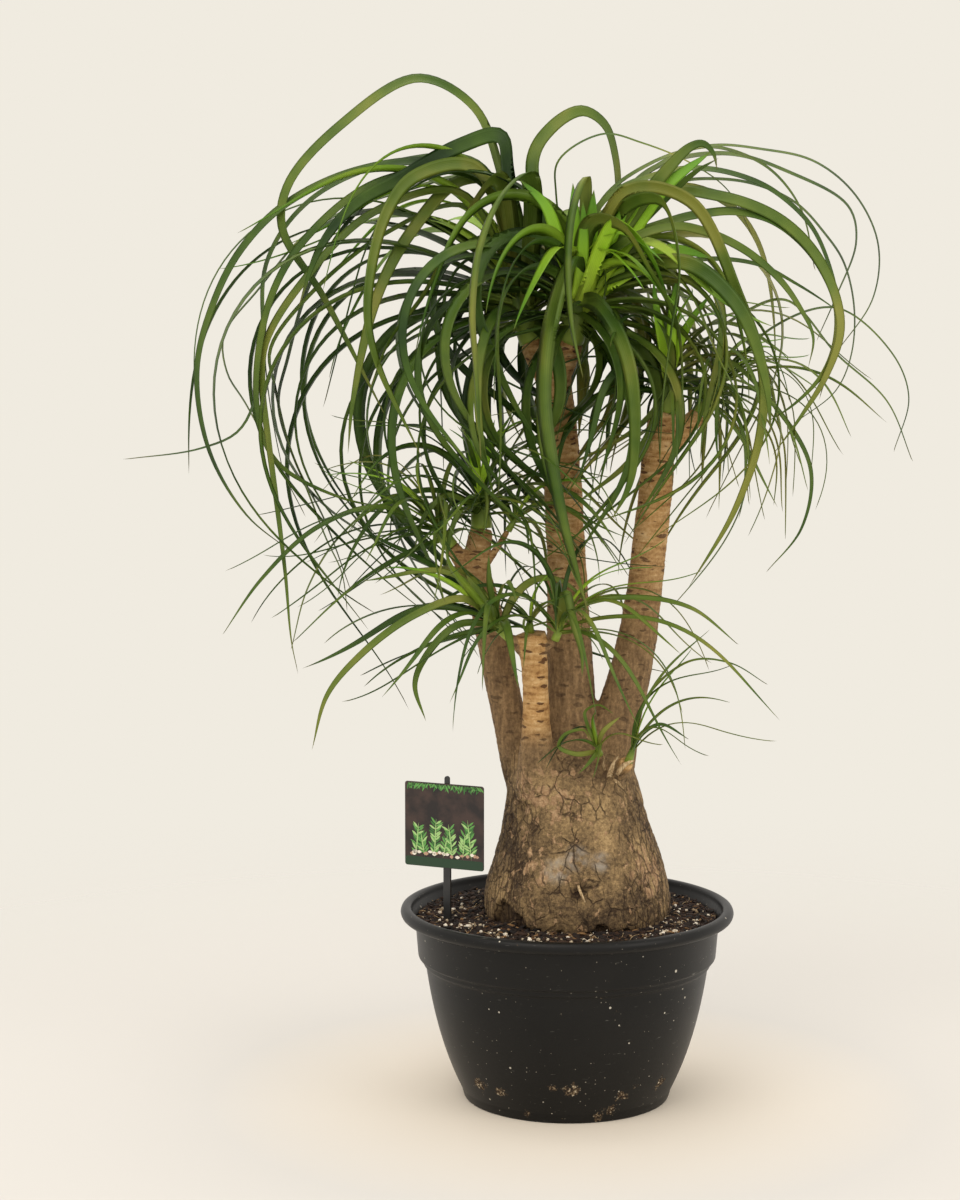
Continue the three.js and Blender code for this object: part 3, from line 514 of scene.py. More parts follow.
# %% Where each point lies on its limb
def limb_place(points):
    """For each point: its distance from the nearest limb's skin, how far along it lies, which limb."""
    best = np.full(len(points), 1e9)
    along = np.zeros(len(points))
    which = np.zeros(len(points), int)
    for index, stops in enumerate(LIMBS.values()):
        travelled = 0.0
        for start, end in zip(stops, stops[1:]):
            a, b = np.array(start[:3], float), np.array(end[:3], float)
            span = np.linalg.norm(b - a)
            t = np.clip((points - a) @ (b - a) / span**2, 0, 1)
            gap = np.linalg.norm(points - (a + t[:, None] * (b - a)), axis=1) - mix(start[3], end[3], t)
            nearer = gap < best
            best = np.where(nearer, gap, best)
            along = np.where(nearer, travelled + t * span, along)
            which = np.where(nearer, index, which)
            travelled += span
    return best, along, which


_, skin_along, skin_limb = limb_place(skin_points)
caudex_share = 1 - smoothstep(skin_points[:, 2] + 0.25 * np.abs(skin_points[:, 0]), 300, 372)
print("points on the caudex:", int((caudex_share > 0.5).sum()))

# %% [markdown]
# ### Bark relief
# The sizes come from the plant: cracks stand 8 to 12 mm apart and run several times as far along
# the limb, flakes are about 14 mm across, and leaf scars are 5 to 8 mm apart. The front of the
# caudex has a dimple with a dead twig in it and a crack on each side. The mix has fallen away
# from a ragged undercut along its foot, which is deepest at the left.

# %% Raise the bark
CRACK_SPACING = 10.0
FLAKE_SIZE = 15.0
SCAR_SPACING = 7.0
DIMPLE = (11, -86, 215)
CRACK_ENDS = [(-29, -78, 212), (36, -80, 224)]
FOOT_HOLLOWS = [((-60, -56, 192), 17), ((-48, -66, 186), 13), ((30, -84, 180), 12)]
UNDERCUT = 6.0
STUMP_HOLLOWS = [((-42, -56, 451), 6), ((-28, -58, 450), 4.5)]
FLAKY_PATCHES = [((-16, -64, 292), 42), ((-40, -50, 306), 26), ((72, -48, 224), 46), ((-30, -78, 232), 24)]
SMEARS = [((8, -84, 246), 16), ((-12, -84, 236), 18), ((32, -80, 242), 13)]


def noise_at(point, size, stretch=1.0, shift=0.0):
    """Smooth noise from -1 to 1 whose lumps are size mm wide and stretch times as high."""
    return noise.noise(Vector((point[0] / size + shift, point[1] / size, point[2] / size / stretch)))


def bark_height(p, along, caudex):
    """How far the bark stands out, in mm, and how deep in a crack or a scar the point lies, which sets its
    painted shade.
    """
    sides = min(1.0, abs(p[0] - 8) / 62 + 0.25)
    lump = 1.9 * noise_at(p, 62, 1.4) + 0.9 * noise_at(p, 24, 1.6, 7)
    wander = 5 * noise_at(p, 30, 2, 3)
    crack = 1 - abs(noise_at((p[0] + wander, p[1], p[2]), CRACK_SPACING, 4.5, 11)) * 7
    crack = max(0.0, crack) * max(0.0, 0.35 + noise_at(p, 34, 1, 5)) * sides
    spots, _ = noise.voronoi(Vector(p) / FLAKE_SIZE, distance_metric="DISTANCE")
    seam = max(0.0, 1 - (spots[1] - spots[0]) * 9)
    flake = (0.5 if noise_at(p, 40, 1, 21) > 0 else 0.25) * (1 - seam)
    fine = 0.35 * noise_at(p, 5, 1.5, 31)
    on_caudex = lump + flake + fine - 1.5 * crack - 0.5 * seam * sides
    ring = along + 1.7 * noise_at(p, 17, 0.8, 41) + 0.8 * noise_at(p, 6, 0.6, 43)
    scar = max(0.0, math.sin(2 * math.pi * ring / SCAR_SPACING)) ** 3
    scar *= max(0.0, 0.55 + 0.9 * noise_at(p, 26, 0.7, 47))
    on_trunk = 0.9 * noise_at(p, 16, 1.2, 51) + 0.35 * noise_at(p, 4, 0.5, 53) - 0.4 * scar
    height = mix(on_trunk, on_caudex, caudex)
    painted_shade = mix(0.22 * min(1.0, scar), min(1.0, max(0.7 * crack, 0.3 * seam * sides)), caudex)
    return height, painted_shade


bark, painted_shades = np.zeros(len(skin_points)), np.zeros(len(skin_points))
for i, (p, along, caudex) in enumerate(zip(skin_points.tolist(), skin_along.tolist(), caudex_share.tolist())):
    bark[i], painted_shades[i] = bark_height(p, along, caudex)
print("bark from", round(bark.min(), 2), "to", round(bark.max(), 2), "mm")


# %% Dimple, cracks and hollows
def on_skin(place):
    """The point of the skin that is nearest to a place."""
    return skin_points[distance(skin_points, place).argmin()]


def near(place, reach):
    """1 at a place on the skin, 0 at reach mm from it and beyond."""
    return 1 - smoothstep(distance(skin_points, on_skin(place)), 0, reach)


dents = 6.5 * near(DIMPLE, 15)
# Painted shade: the dimple, the cracks from it and the stump hollows are marked for darkening.
painted_shades = np.maximum(painted_shades, 1.1 * near(DIMPLE, 11))
for end in CRACK_ENDS:
    for step in range(24):
        place = mix(np.array(DIMPLE), np.array(end), step / 23)
        place[2] += 3 * noise.noise(Vector((step * 0.3, end[0], 0)))
        crack = near(place, 3.4)
        dents = np.maximum(dents, 1.2 * crack * (1 - step / 30))
        painted_shades = np.maximum(painted_shades, 0.8 * crack * (1 - step / 30))
for place, reach in STUMP_HOLLOWS:
    hollow = near(place, reach)
    dents = np.maximum(dents, 0.6 * reach * hollow)
    painted_shades = np.maximum(painted_shades, 1.3 * hollow)
ragged = np.array([noise_at(p, 15, 1, 61) + 0.6 * noise_at(p, 5, 1, 67) for p in skin_points.tolist()])
foot_height = MOUND_TOP - 2 + 9 * ragged
for place, reach in FOOT_HOLLOWS:
    gap = distance(skin_points, on_skin(place))
    foot_height = np.maximum(foot_height, place[2] + reach * (0.7 + 0.4 * ragged - gap / reach))
hollow = 1 - smoothstep(skin_points[:, 2] - foot_height, -3, 0)
dents = np.maximum(dents, UNDERCUT * hollow)
foot_line = 1 - smoothstep(skin_points[:, 2] - 3 * ragged, MOUND_TOP, MOUND_TOP + 9)
# Painted shade also darkens the undercut and the bark just above the mix.
painted_shades = np.clip(np.max([painted_shades, 1.1 * hollow, 0.6 * foot_line], axis=0), 0, 1)
wood_points = skin_points + skin_normals * (bark - dents)[:, None]
print("deepest dent", round(float(dents.max()), 1), "mm")

# %% [markdown]
# ### Bark colours
# Young trunk is tan with red-brown scars. It greys as it thickens, and the caudex is grey-brown
# with tan patches where the corky outer bark has flaked off. Bark has no gloss to speak of, so
# its roughness is high and its colour does the work: cracks, scars, hollows and the bark just
# above the mix are darkened with painted shade, by the numbers stored at its points.

# %% Bark material: coordinates
bark_material, tree = new_material("corky_bark")
place = node("TexCoord").outputs["Object"]
mark = {
    name: node("Attribute", attribute_name=name).outputs["Fac"]
    for name in ("caudex", "painted_shade", "youth", "fissured", "flaky", "smear")
}
sway = node("TexNoise", place, every(16), 3)
shift = node("VectorMath", sway.outputs[1], 9 * MM, operation="SCALE")
warped = node("VectorMath", place, shift, operation="ADD")
speckle = node("TexNoise", place, every(3.2), 9, 0.78)
print("bark marks:", list(mark))

# %% Bark material: grey caudex with tan flakes
tall = node("Mapping", warped, Scale=(1, 1, 0.7))
cloud = node("TexNoise", tall, every(38), 6)
grey_value = node("Mix", 0.45, speckle, cloud)
grey_value = node("Math", mark["flaky"], 0.05, grey_value, operation="MULTIPLY_ADD")
greys = {0.38: "#34291d", 0.455: "#5e4c36", 0.52: "#836c4b", 0.58: "#a3885f", 0.66: "#c5a778"}
grey_bark = node("ValToRGB", grey_value, stops=greys)
flake_field = node("TexNoise", tall, every(7.5), 6, 0.6)
flake_value = node("Math", mark["flaky"], 0.11, flake_field, operation="MULTIPLY_ADD")
flake_mask = node("MapRange", flake_value, 0.6, 0.63)
tan = node("ValToRGB", speckle, stops={0.34: "#86684a", 0.46: "#a58461", 0.58: "#bb9a74", 0.68: "#d0b28c"})
flaked = node("Mix", flake_mask, grey_bark, tan, data_type="RGBA")
dusty = node("TexNoise", place, every(9), 6)
dusty = node("MapRange", dusty, 0.36, 0.62, 0, 0.72)
dusty = node("Math", dusty, mark["smear"], operation="MULTIPLY")
smeared = node("Mix", dusty, flaked, "#a8a093", data_type="RGBA")
print("caudex colours set")

# %% Bark material: cracks
drift = node("TexNoise", warped, every(26), 3)
drift = node("MapRange", drift, 0.42, 0.54)
# Plates on the front and fissures at the sides: size in mm, squash, width of the dark line, where.
CRACK_KINDS = [(13, 0.6, 0.01, 0.045, drift), (8, 0.17, 0.015, 0.085, mark["fissured"])]
cracks = []
for size, squash, core, rim, share in CRACK_KINDS:
    stretched = node("Mapping", warped, Scale=(1, 1, squash))
    edge = node("TexVoronoi", stretched, every(size), feature="DISTANCE_TO_EDGE")
    edge = node("MapRange", edge, core, rim, 1, 0)
    cracks.append(node("Math", edge, share, operation="MULTIPLY"))
cracks = node("Math", *cracks, operation="MAXIMUM")
# The crack lines are darkened as painted shade in fissures that exist only in the bump.
painted_crack_shade = node("Math", cracks, 0.72, operation="MULTIPLY")
old_bark = node("Mix", painted_crack_shade, smeared, "#33241a", data_type="RGBA")
print("cracks set")

# %% Bark material: trunks and their leaf scars
level = node("Mapping", place, Scale=(0.3, 0.3, 1.5))
rings = node("TexNoise", level, every(6), 6)
upright = node("Mapping", place, Scale=(1.2, 1.2, 0.3))
strands = node("TexNoise", upright, every(5), 7, 0.7)
ring_value = node("Mix", 0.5, rings, speckle)
strand_value = node("Mix", 0.45, strands, speckle)
mid_value = node("Mix", mark["youth"], strand_value, ring_value)
scars = node("Mapping", warped, Scale=(0.55, 0.55, 1.9))
scars = node("TexVoronoi", scars, every(8.5))
scar_hue = node("SeparateColor", scars.outputs["Color"])
scar_size = node("MapRange", scar_hue, 0.05, 1, 0, 0.42)
scar_depth = node("Math", scar_size, scars.outputs["Distance"], operation="SUBTRACT")
scar_mask = node("MapRange", scar_depth, 0, 0.06)
# The lower trunks and the young ones: value, colours, how strong the scars are, and their colour.
TRUNK_KINDS = [
    (mid_value, {0.37: "#56422d", 0.46: "#755d41", 0.54: "#8f7350", 0.64: "#ab8c66"}, 0.5, "#3a2b1e"),
    (ring_value, {0.37: "#7b522f", 0.45: "#a87f4c", 0.54: "#c29a65", 0.66: "#d9ba89"}, 0.85, "#4a2a17"),
]
trunk_bark = []
for value, stops, share, scar_colour in TRUNK_KINDS:
    bare = node("ValToRGB", value, stops=stops)
    share = node("Math", scar_mask, share, operation="MULTIPLY")
    trunk_bark.append(node("Mix", share, bare, scar_colour, data_type="RGBA"))
trunk_bark = node("Mix", mark["youth"], *trunk_bark, data_type="RGBA")
print("trunk colours set")

# %% Bark material: all together
all_bark = node("Mix", mark["caudex"], trunk_bark, old_bark, data_type="RGBA")
# Painted shade: the marked cracks, scars, hollows and the foot are darkened towards #24150c.
shade = node("Math", mark["painted_shade"], 0.76, operation="MULTIPLY")
shaded = node("Mix", shade, all_bark, "#24150c", data_type="RGBA")
raised = node("Math", flake_mask, 0.3, speckle, operation="MULTIPLY_ADD")
raised = node("Math", cracks, -0.9, raised, operation="MULTIPLY_ADD")
raised = node("Mix", mark["caudex"], ring_value, raised)
raised = node("Math", scar_mask, -0.4, raised, operation="MULTIPLY_ADD")
bump = node("Bump", Height=raised, Strength=1, Distance=1.5 * MM)
corky = dict(Roughness=0.86, IOR=1.45, Specular_IOR_Level=0.3)
node("OutputMaterial", node("BsdfPrincipled", Base_Color=shaded, Normal=bump, **corky))
print("bark material of", len(tree.nodes), "nodes")

# %% Wood piece
skin_height = skin_points[:, 2]
youth_share = smoothstep(skin_height, 400, 600)
is_stump = (skin_limb == list(LIMBS).index("stump")) & (skin_height > 340)
youth_share = np.where(is_stump, np.maximum(youth_share, smoothstep(skin_height, 335, 375)), youth_share)
to_side = smoothstep(np.abs(skin_points[:, 0] - 10), 30, 62)
flaky, smear = (
    np.max([near(place, reach) for place, reach in patches], axis=0) for patches in (FLAKY_PATCHES, SMEARS)
)
cut_end = np.clip(2 * near(LIMBS["shoulder_right_stub"][-1][:3], 13), 0, 1)
wood_marks = {
    "caudex": caudex_share * (1 - cut_end),
    "painted_shade": painted_shades,
    "youth": np.maximum(youth_share, cut_end),
    "fissured": to_side,
    "flaky": np.clip(1.6 * flaky, 0, 1),
    "smear": np.clip(1.5 * smear, 0, 1),
}
make_piece("wood", wood_points, skin_faces, bark_material, "bark", ["trunk"], wood_marks)

# %% [markdown]
# ### Dead wood and dry sheaths
# A dead twig stands in the dimple, and dry, papery leaf bases cling to the stub on the caudex's
# right shoulder. Both have weathered to a pale tan.

# %% Twig in the dimple
dry_material, tree = new_material("weathered_twig_wood")
place = node("TexCoord").outputs["Object"]
slender = node("Mapping", place, Scale=(1, 1, 0.3))
fibre = node("TexNoise", slender, every(1.5), 5)
dry_colour = node("ValToRGB", fibre, stops={0.35: "#7d6444", 0.5: "#ae936b", 0.66: "#cdb78f"})
node("OutputMaterial", node("BsdfPrincipled", Base_Color=dry_colour, Roughness=0.8, IOR=1.45))
TWIG = [(10, -77, 220, 1.3), (12, -84, 215, 1.4), (15, -88, 209, 1.1), (16.5, -89, 206, 0.5)]
make_piece("dead_twig", *tube(fine_stops(TWIG, 1.5), 10), dry_material, "bark")

# %% [markdown]
# ## The leaves
# A growing point makes its leaves one after another, each turned by the golden angle from the
# last, so young leaves stand up in the middle and old ones hang round the outside. Each leaf here
# is grown by that rule: it leaves the heart at an angle, and its direction turns from there to
# where its weight pulls it. Leaves that can be told apart in the photograph are placed one by one
# through points. The rule and its seeds are those of the solids, with more, finer leaves added.

# %% Heads
HEAD_COLUMNS = ("on", "tip", "radius", "leaves", "seed", "extra", "launch", "fall", "length", "width")
HEAD_ROWS = {
    "crown_head": (
        "crown_prong", (12, -30, 766), (12, 6), 44, 3, 26, (8, 100), (100, 228), (220, 520), (9, 16),
    ),
    "crown_left_head": (
        "crown_left_prong", (-52, 18, 770), (12, 6), 52, 7, 16, (8, 100), (104, 230), (240, 680), (8, 15),
    ),
    "right_head": ("right", (94, -12, 704), (12, 6), 38, 12, 6, (6, 86), (80, 166), (110, 240), (4, 10)),
    "right_side_head": (
        "right_stub", (144, 8, 684), (8, 4), 26, 21, 6, (10, 88), (80, 180), (80, 185), (3, 7),
    ),
    "left_head": ("left", (-83, 4, 578), (10, 5), 24, 33, 14, (8, 88), (62, 128), (100, 215), (3, 8)),
    "left_outer_head": (
        "left_stub", (-126, -13, 548), (7, 4), 24, 41, 4, (8, 80), (66, 126), (95, 205), (3, 7),
    ),
    "left_twig_head": (
        "left_twig", (-46, -14, 556), (3.4, 2), 10, 52, 8, (10, 80), (80, 160), (80, 160), (3, 5),
    ),
    "stump_left_shoot": (
        "stump_left_stub", (-76, -66, 468), (5, 4), 12, 64, 3, (10, 72), (50, 128), (95, 185), (6, 11),
    ),
    "stump_middle_shoot": (
        "stump", (-34, -54, 464), (3.4, 2), 8, 71, 8, (15, 75), (40, 130), (50, 90), (3, 4),
    ),
    "stump_right_shoot": (
        "stump_right_stub", (-4, -59, 462), (4, 3), 12, 83, 8, (8, 70), (60, 150), (100, 230), (3, 6),
    ),
    "shoulder_front_shoot": (
        "shoulder_front_stub", (27, -68, 348), (4, 3), 5, 95, 1, (10, 60), (50, 120), (40, 75), (4, 6),
    ),
    "shoulder_right_shoot": (
        "shoulder_right_stub", (62, -52, 348), (4, 2.6), 5, 101, 0, (4, 30), (30, 110), (80, 170), (2.4, 4),
    ),
}
# depth, front and right shorten leaves that way or leave them out, and flatten crowds the sides.
HEAD_SHAPES = {
    "crown_head": dict(depth=0.5, front=0.5, flatten=0.22, right=0.8),
    "crown_left_head": dict(depth=0.45, front=0.6, flatten=0.25, right=0.6),
    "right_head": dict(depth=0.7, front=0.8),
}
HEADS = {name: dict(zip(HEAD_COLUMNS, row), **HEAD_SHAPES.get(name, {})) for name, row in HEAD_ROWS.items()}
print(len(HEADS), "heads")

# %% Leaves placed one by one
# After each head's name: width in mm, roll in degrees, then x, y and z of each place in mm.
PLACED_LEAVES = [
    "crown_left_head",
    (12, 50, -67, 10, 875, -90, 8, 930, -140, 0, 955, -210, -12, 912, -257, -20, 859, -263, -22, 819, -226,
     -15, 756, -165, 0, 635),
    (15, 40, -58, -4, 872, -64, -12, 902, -100, -20, 893, -153, -35, 863, -195, -50, 838, -225, -60, 800,
     -245, -65, 745),
    "crown_head",
    (13, -10, -34, 10, 880, -16, 15, 912, 11, 20, 927, 32, 28, 915, 42, 34, 886, 45, 40, 850, 42, 48, 805, 38,
     56, 760, 34, 60, 715),
    "crown_left_head",
    (11, 60, -64, -5, 850, -120, -15, 877, -195, -20, 870, -260, -22, 840, -300, -25, 800, -326, -25, 752,
     -343, -22, 690, -333, -20, 615, -300, -15, 555, -260, -10, 520),
    (11, 58, -82, 24, 862, -157, 40, 854, -242, 50, 820, -296, 55, 762, -328, 55, 720, -325, 52, 685, -307,
     50, 655, -250, 40, 548),
    (9, 60, -82, 5, 876, -157, 0, 880, -238, 0, 846, -280, 0, 788, -285, -3, 690, -305, -10, 634, -342, -12,
     616, -415, -15, 606),
    "crown_head",
    (8, -60, 30, -5, 842, 76, 0, 878, 130, 5, 894, 176, 8, 891, 225, 10, 880, 263, 12, 850, 285, 12, 805, 281,
     10, 755, 248, 5, 705),
    (10, -50, 67, 15, 866, 141, 25, 888, 207, 35, 870, 260, 40, 840, 268, 42, 808, 250, 38, 757, 232, 35,
     715),
    (12, -45, 66, -25, 846, 134, -45, 846, 190, -55, 824, 226, -62, 785, 244, -62, 731, 233, -60, 688, 210,
     -55, 648, 185, -50, 612),
    (12, -20, 51, -60, 850, 108, -85, 840, 150, -100, 757, 172, -103, 690, 170, -100, 631, 149, -90, 565, 109,
     -75, 494),
    (13, -15, 45, -50, 832, 82, -95, 840, 97, -116, 785, 90, -122, 725, 83, -125, 668, 80, -125, 608),
    (12, 20, 13, -60, 862, 2, -85, 832, -2, -100, 785, 2, -108, 731, 13, -110, 683),
    (20, 10, 2, -60, 792, -8, -90, 772, -20, -107, 720, -23, -112, 665, -16, -115, 611, -4, -112, 552, 19,
     -102, 470),
    "crown_left_head",
    (18, 15, -37, -50, 865, -60, -82, 848, -80, -112, 800, -86, -128, 744, -83, -132, 700, -77, -130, 612),
    (17, 25, -66, -30, 864, -105, -62, 810, -131, -85, 758, -160, -97, 718, -178, -98, 672),
    (13, 35, -85, -15, 872, -140, -50, 864, -166, -75, 826, -180, -95, 745, -172, -98, 700, -131, -92, 611),
    (13, 40, -60, 0, 856, -100, -5, 862, -147, -20, 812, -176, -30, 755, -198, -35, 661, -203, -35, 612),
    "crown_head",
    (16, -10, 28, -70, 748, 48, -92, 715, 58, -102, 670, 56, -102, 594, 39, -98, 557),
    (17, -15, 20, -60, 822, 46, -85, 820, 72, -103, 780, 96, -115, 731, 101, -118, 646),
    (15, -30, 66, -50, 782, 108, -92, 784, 150, -117, 745, 173, -125, 682, 178, -125, 636),
    "right_head",
    (5, -55, 155, 0, 737, 200, 5, 753, 248, 5, 703, 295, 5, 660, 320, 5, 604),
    "right_side_head",
    (4, -55, 187, 15, 726, 248, 20, 746, 300, 20, 705, 317, 20, 663, 304, 20, 612),
    "right_head",
    (6, -45, 140, -15, 700, 190, -22, 655, 222, -25, 600, 215, -25, 545, 183, -25, 503),
    "left_outer_head",
    (6, 50, -175, -30, 563, -231, -40, 545, -282, -45, 498, -319, -48, 446),
    (5, 50, -157, -5, 572, -213, 5, 534, -245, 8, 484, -262, 10, 425),
    "stump_left_shoot",
    (7, 40, -96, -85, 484, -140, -100, 470, -186, -110, 436, -216, -115, 400, -230, -118, 350),
    (7, 30, -100, -84, 460, -126, -92, 436, -138, -98, 408, -128, -100, 374),
    "shoulder_front_shoot",
    (5, 30, 6, -82, 342, -8, -88, 350, -3, -84, 360, 15, -76, 363, 21, -72, 352),
    (5, -30, 33, -74, 362, 48, -72, 375),
    (4, 30, 18, -78, 368, 16, -80, 381, 28, -80, 387, 42, -76, 378),
    "shoulder_right_shoot",
    (3, -40, 74, -44, 390, 113, -38, 422, 150, -36, 420, 185, -35, 400),
    (4, -30, 70, -49, 356, 86, -46, 364, 112, -44, 350),
    (3, -30, 68, -52, 378, 90, -50, 415, 130, -45, 452),
    "stump_right_shoot",
    (6, -45, 14, -64, 476, 60, -66, 484, 112, -62, 474, 156, -58, 440),
    (9, 20, -2, -84, 492, 6, -94, 462, 13, -96, 436, 13, -95, 414),
    "crown_left_head",
    (10, 50, -90, 20, 868, -180, 30, 850, -240, 35, 775, -265, 35, 698, -274, 35, 656, -258, 35, 600, -231,
     32, 546, -206, 30, 477),
    (9, 50, -85, -10, 862, -170, -20, 862, -240, -28, 810, -275, -30, 750, -287, -30, 656, -270, -30, 606,
     -211, -28, 572, -150, -25, 560),
    "crown_head",
    (9, -50, 30, -25, 840, 95, -20, 870, 130, -20, 871, 170, -20, 860, 195, -20, 845, 220, -20, 820, 235, -20,
     790, 245, -20, 750, 240, -20, 700, 230, -20, 662),
    (8, -50, 36, -6, 826, 98, 10, 860, 135, 15, 864, 172, 15, 859, 210, 20, 842, 236, 20, 815, 255, 25, 788,
     266, 30, 745, 264, 35, 700, 250, 35, 668, 216, 40, 640),
    (10, -45, 40, -40, 800, 95, -50, 824, 122, -50, 830, 150, -50, 832, 180, -55, 825, 205, -55, 808, 225,
     -55, 784, 240, -55, 750, 240, -55, 716, 228, -60, 686, 204, -60, 660, 174, -60, 640),
    (9, -40, 38, -52, 796, 90, -70, 818, 120, -70, 814, 155, -75, 798, 185, -75, 774, 205, -75, 748, 218, -80,
     720, 214, -80, 692),
    (7, -50, 44, -30, 776, 105, -30, 788, 140, -30, 790, 175, -30, 784, 206, -30, 768, 232, -30, 752, 252,
     -30, 738),
    (3, -55, -12, -4, 850, -10, -10, 880, 30, -10, 904, 66, -10, 896, 110, -10, 878, 145, -10, 853, 168, -10,
     812),
    (8, -50, 24, -12, 812, 64, 0, 848, 110, 0, 856, 156, 0, 845, 206, 0, 818, 236, 4, 780),
    (8, -50, 30, 4, 830, 84, 12, 878, 120, 14, 893, 150, 14, 890, 186, 14, 872, 214, 14, 836, 228, 14, 780),
    (15, -15, 30, -40, 790, 52, -46, 822, 85, -56, 866, 108, -60, 889, 119, -62, 892, 128, -64, 884, 132, -65,
     868),
    (10, -20, 40, -28, 796, 80, -38, 838, 114, -44, 868, 134, -46, 880),
    "left_head",
    (6, 20, -92, -14, 566, -112, -28, 574, -132, -34, 556, -142, -36, 524),
    (6, -10, -80, -16, 568, -76, -34, 582, -74, -44, 566, -78, -46, 536),
    (6, -20, -74, -14, 562, -56, -30, 572, -40, -36, 550, -36, -36, 520),
    (6, 15, -88, -16, 556, -98, -34, 562, -108, -42, 540, -112, -44, 508),
    "stump_left_shoot",
    (12, 20, -66, -68, 462, -78, -76, 482, -92, -84, 506),
    (10, 5, -64, -68, 464, -70, -76, 492, -72, -80, 524),
    "crown_left_head",
    (9, 50, -100, -10, 850, -180, -22, 832, -245, -30, 768, -278, -30, 715, -282, -30, 680, -276, -35, 625,
     -268, -35, 560, -261, -38, 500, -256, -40, 440, -250, -40, 408),
    (8, 50, -95, 12, 838, -170, 18, 815, -250, 20, 750, -280, 20, 706, -276, 25, 672, -264, 25, 620, -246, 25,
     574, -229, 28, 528, -215, 30, 496, -210, 30, 458),
]
YOUNG_LEAVES = [
    "crown_head",
    (16, 10, 8, -38, 772, 5, -48, 812, 3, -54, 858),
    (18, -10, 13, -40, 772, 19, -48, 812, 22, -54, 852),
    (18, -15, 18, -38, 770, 35, -46, 806, 58, -54, 850),
    (18, -20, 22, -34, 766, 47, -44, 800, 84, -54, 852, 128, -58, 886),
    (15, 20, 2, -34, 772, -8, -42, 800, -22, -48, 838, -46, -52, 862),
    (16, -20, 24, -34, 758, 52, -42, 778, 92, -48, 798, 130, -52, 790),
    (14, -15, 19, -46, 770, 29, -62, 800, 41, -76, 820, 55, -88, 814, 75, -98, 787, 90, -102, 746),
    (13, 0, 11, -46, 780, 13, -54, 815, 12, -58, 842),
    "right_head",
    (10, 15, 86, -26, 712, 80, -36, 742, 76, -42, 772),
    (10, -10, 94, -28, 712, 94, -38, 742, 98, -44, 776),
    (9, -20, 100, -26, 710, 112, -34, 736, 130, -40, 760),
    "left_head",
    (8, 15, -85, -10, 588, -90, -20, 613, -98, -28, 643),
    (8, -15, -79, -10, 588, -74, -18, 616, -68, -26, 644),
]


def leaf_rows(table):
    """One row per leaf: its head, width, roll and places."""
    for row in table:
        if isinstance(row, str):
            head = row
        else:
            yield head, row[0], math.radians(row[1]), np.reshape(row[2:], (-1, 3)).tolist()


placed_leaves, young_leaves = list(leaf_rows(PLACED_LEAVES)), list(leaf_rows(YOUNG_LEAVES))
print(len(placed_leaves), "placed leaves and", len(young_leaves), "young ones")

# %% The path of a leaf
GOLDEN_ANGLE = math.radians(137.508)
SEAT_GAP = 0.3
ROSETTE_ROOT = 0.42
FRONT_Y = -50
# Placed leaves in front get lighter tones and those behind darker ones: painted light and shade.
FRONT_LIT_TONES = (0.5, 0.95)
BACK_SHADED_TONES = (0.1, 0.65)
YOUNGEST_ROOT, OLDEST_ROOT = 0.92, 0.25
PLACED_ROOT_STEP = 0.37
PLACED_SEED, YOUNG_SEED, FURTHER_SEED = 900, 700, 1000
PLACED_STEPS = 90


def heart_foot(head):
    before, end = (Vector(stop[:3]) for stop in TRUNKS[head["on"]][-2:])
    along = (end - before).normalized()
    return end + along * SEAT_GAP, along


def root_of(head, age):
    """Old leaves leave the heart low down, young ones near its tip."""
    return heart_foot(head)[0].lerp(Vector(head["tip"]), mix(YOUNGEST_ROOT, OLDEST_ROOT, age))


def smooth_line(points, count):
    """An even walk along a centripetal curve through points."""
    points = [np.array(p, float) for p in points]
    points = [2 * points[0] - points[1], *points, 2 * points[-1] - points[-2]]
    walk = []
    for a, b, c, d in zip(points, points[1:], points[2:], points[3:]):
        k1 = np.linalg.norm(b - a) ** 0.5
        k2 = k1 + np.linalg.norm(c - b) ** 0.5
        k3 = k2 + np.linalg.norm(d - c) ** 0.5
        for k in np.linspace(k1, k2, 17)[:-1]:
            ab, bc, cd = mix(a, b, k / k1), mix(b, c, (k - k1) / (k2 - k1)), mix(c, d, (k - k2) / (k3 - k2))
            walk.append(mix(mix(ab, bc, k / k2), mix(bc, cd, (k - k1) / (k3 - k1)), (k - k1) / (k2 - k1)))
    walk = np.array([*walk, points[-2]])
    run = np.r_[0, np.cumsum(np.linalg.norm(np.diff(walk, axis=0), axis=1))]
    at = np.linspace(0, run[-1], count + 1)
    return np.stack([np.interp(at, run, walk[:, k]) for k in range(3)], axis=1)


def grown_line(root, leaf, count):
    """A leaf launches at an angle and bends over under its own weight."""
    t = (np.arange(count) + 0.5) / count
    polar = mix(leaf["launch"], leaf["fall"], smoothstep(t, 0, leaf["settled"])) + leaf["curl"] * t**3
    azimuth = leaf["azimuth"] + leaf["sway"] * t * t
    way = np.stack([np.sin(polar) * np.cos(azimuth), np.sin(polar) * np.sin(azimuth), np.cos(polar)], axis=1)
    return np.vstack([[root], np.array(root) + np.cumsum(way * leaf["length"] / count, axis=0)])


print("crown heart foot:", [round(v, 1) for v in heart_foot(HEADS["crown_head"])[0]])


# %% The leaves of a head
def fullness(age):
    return smoothstep(age, -0.1, 0.4) * (1 - 0.45 * smoothstep(age, 0.45, 1))


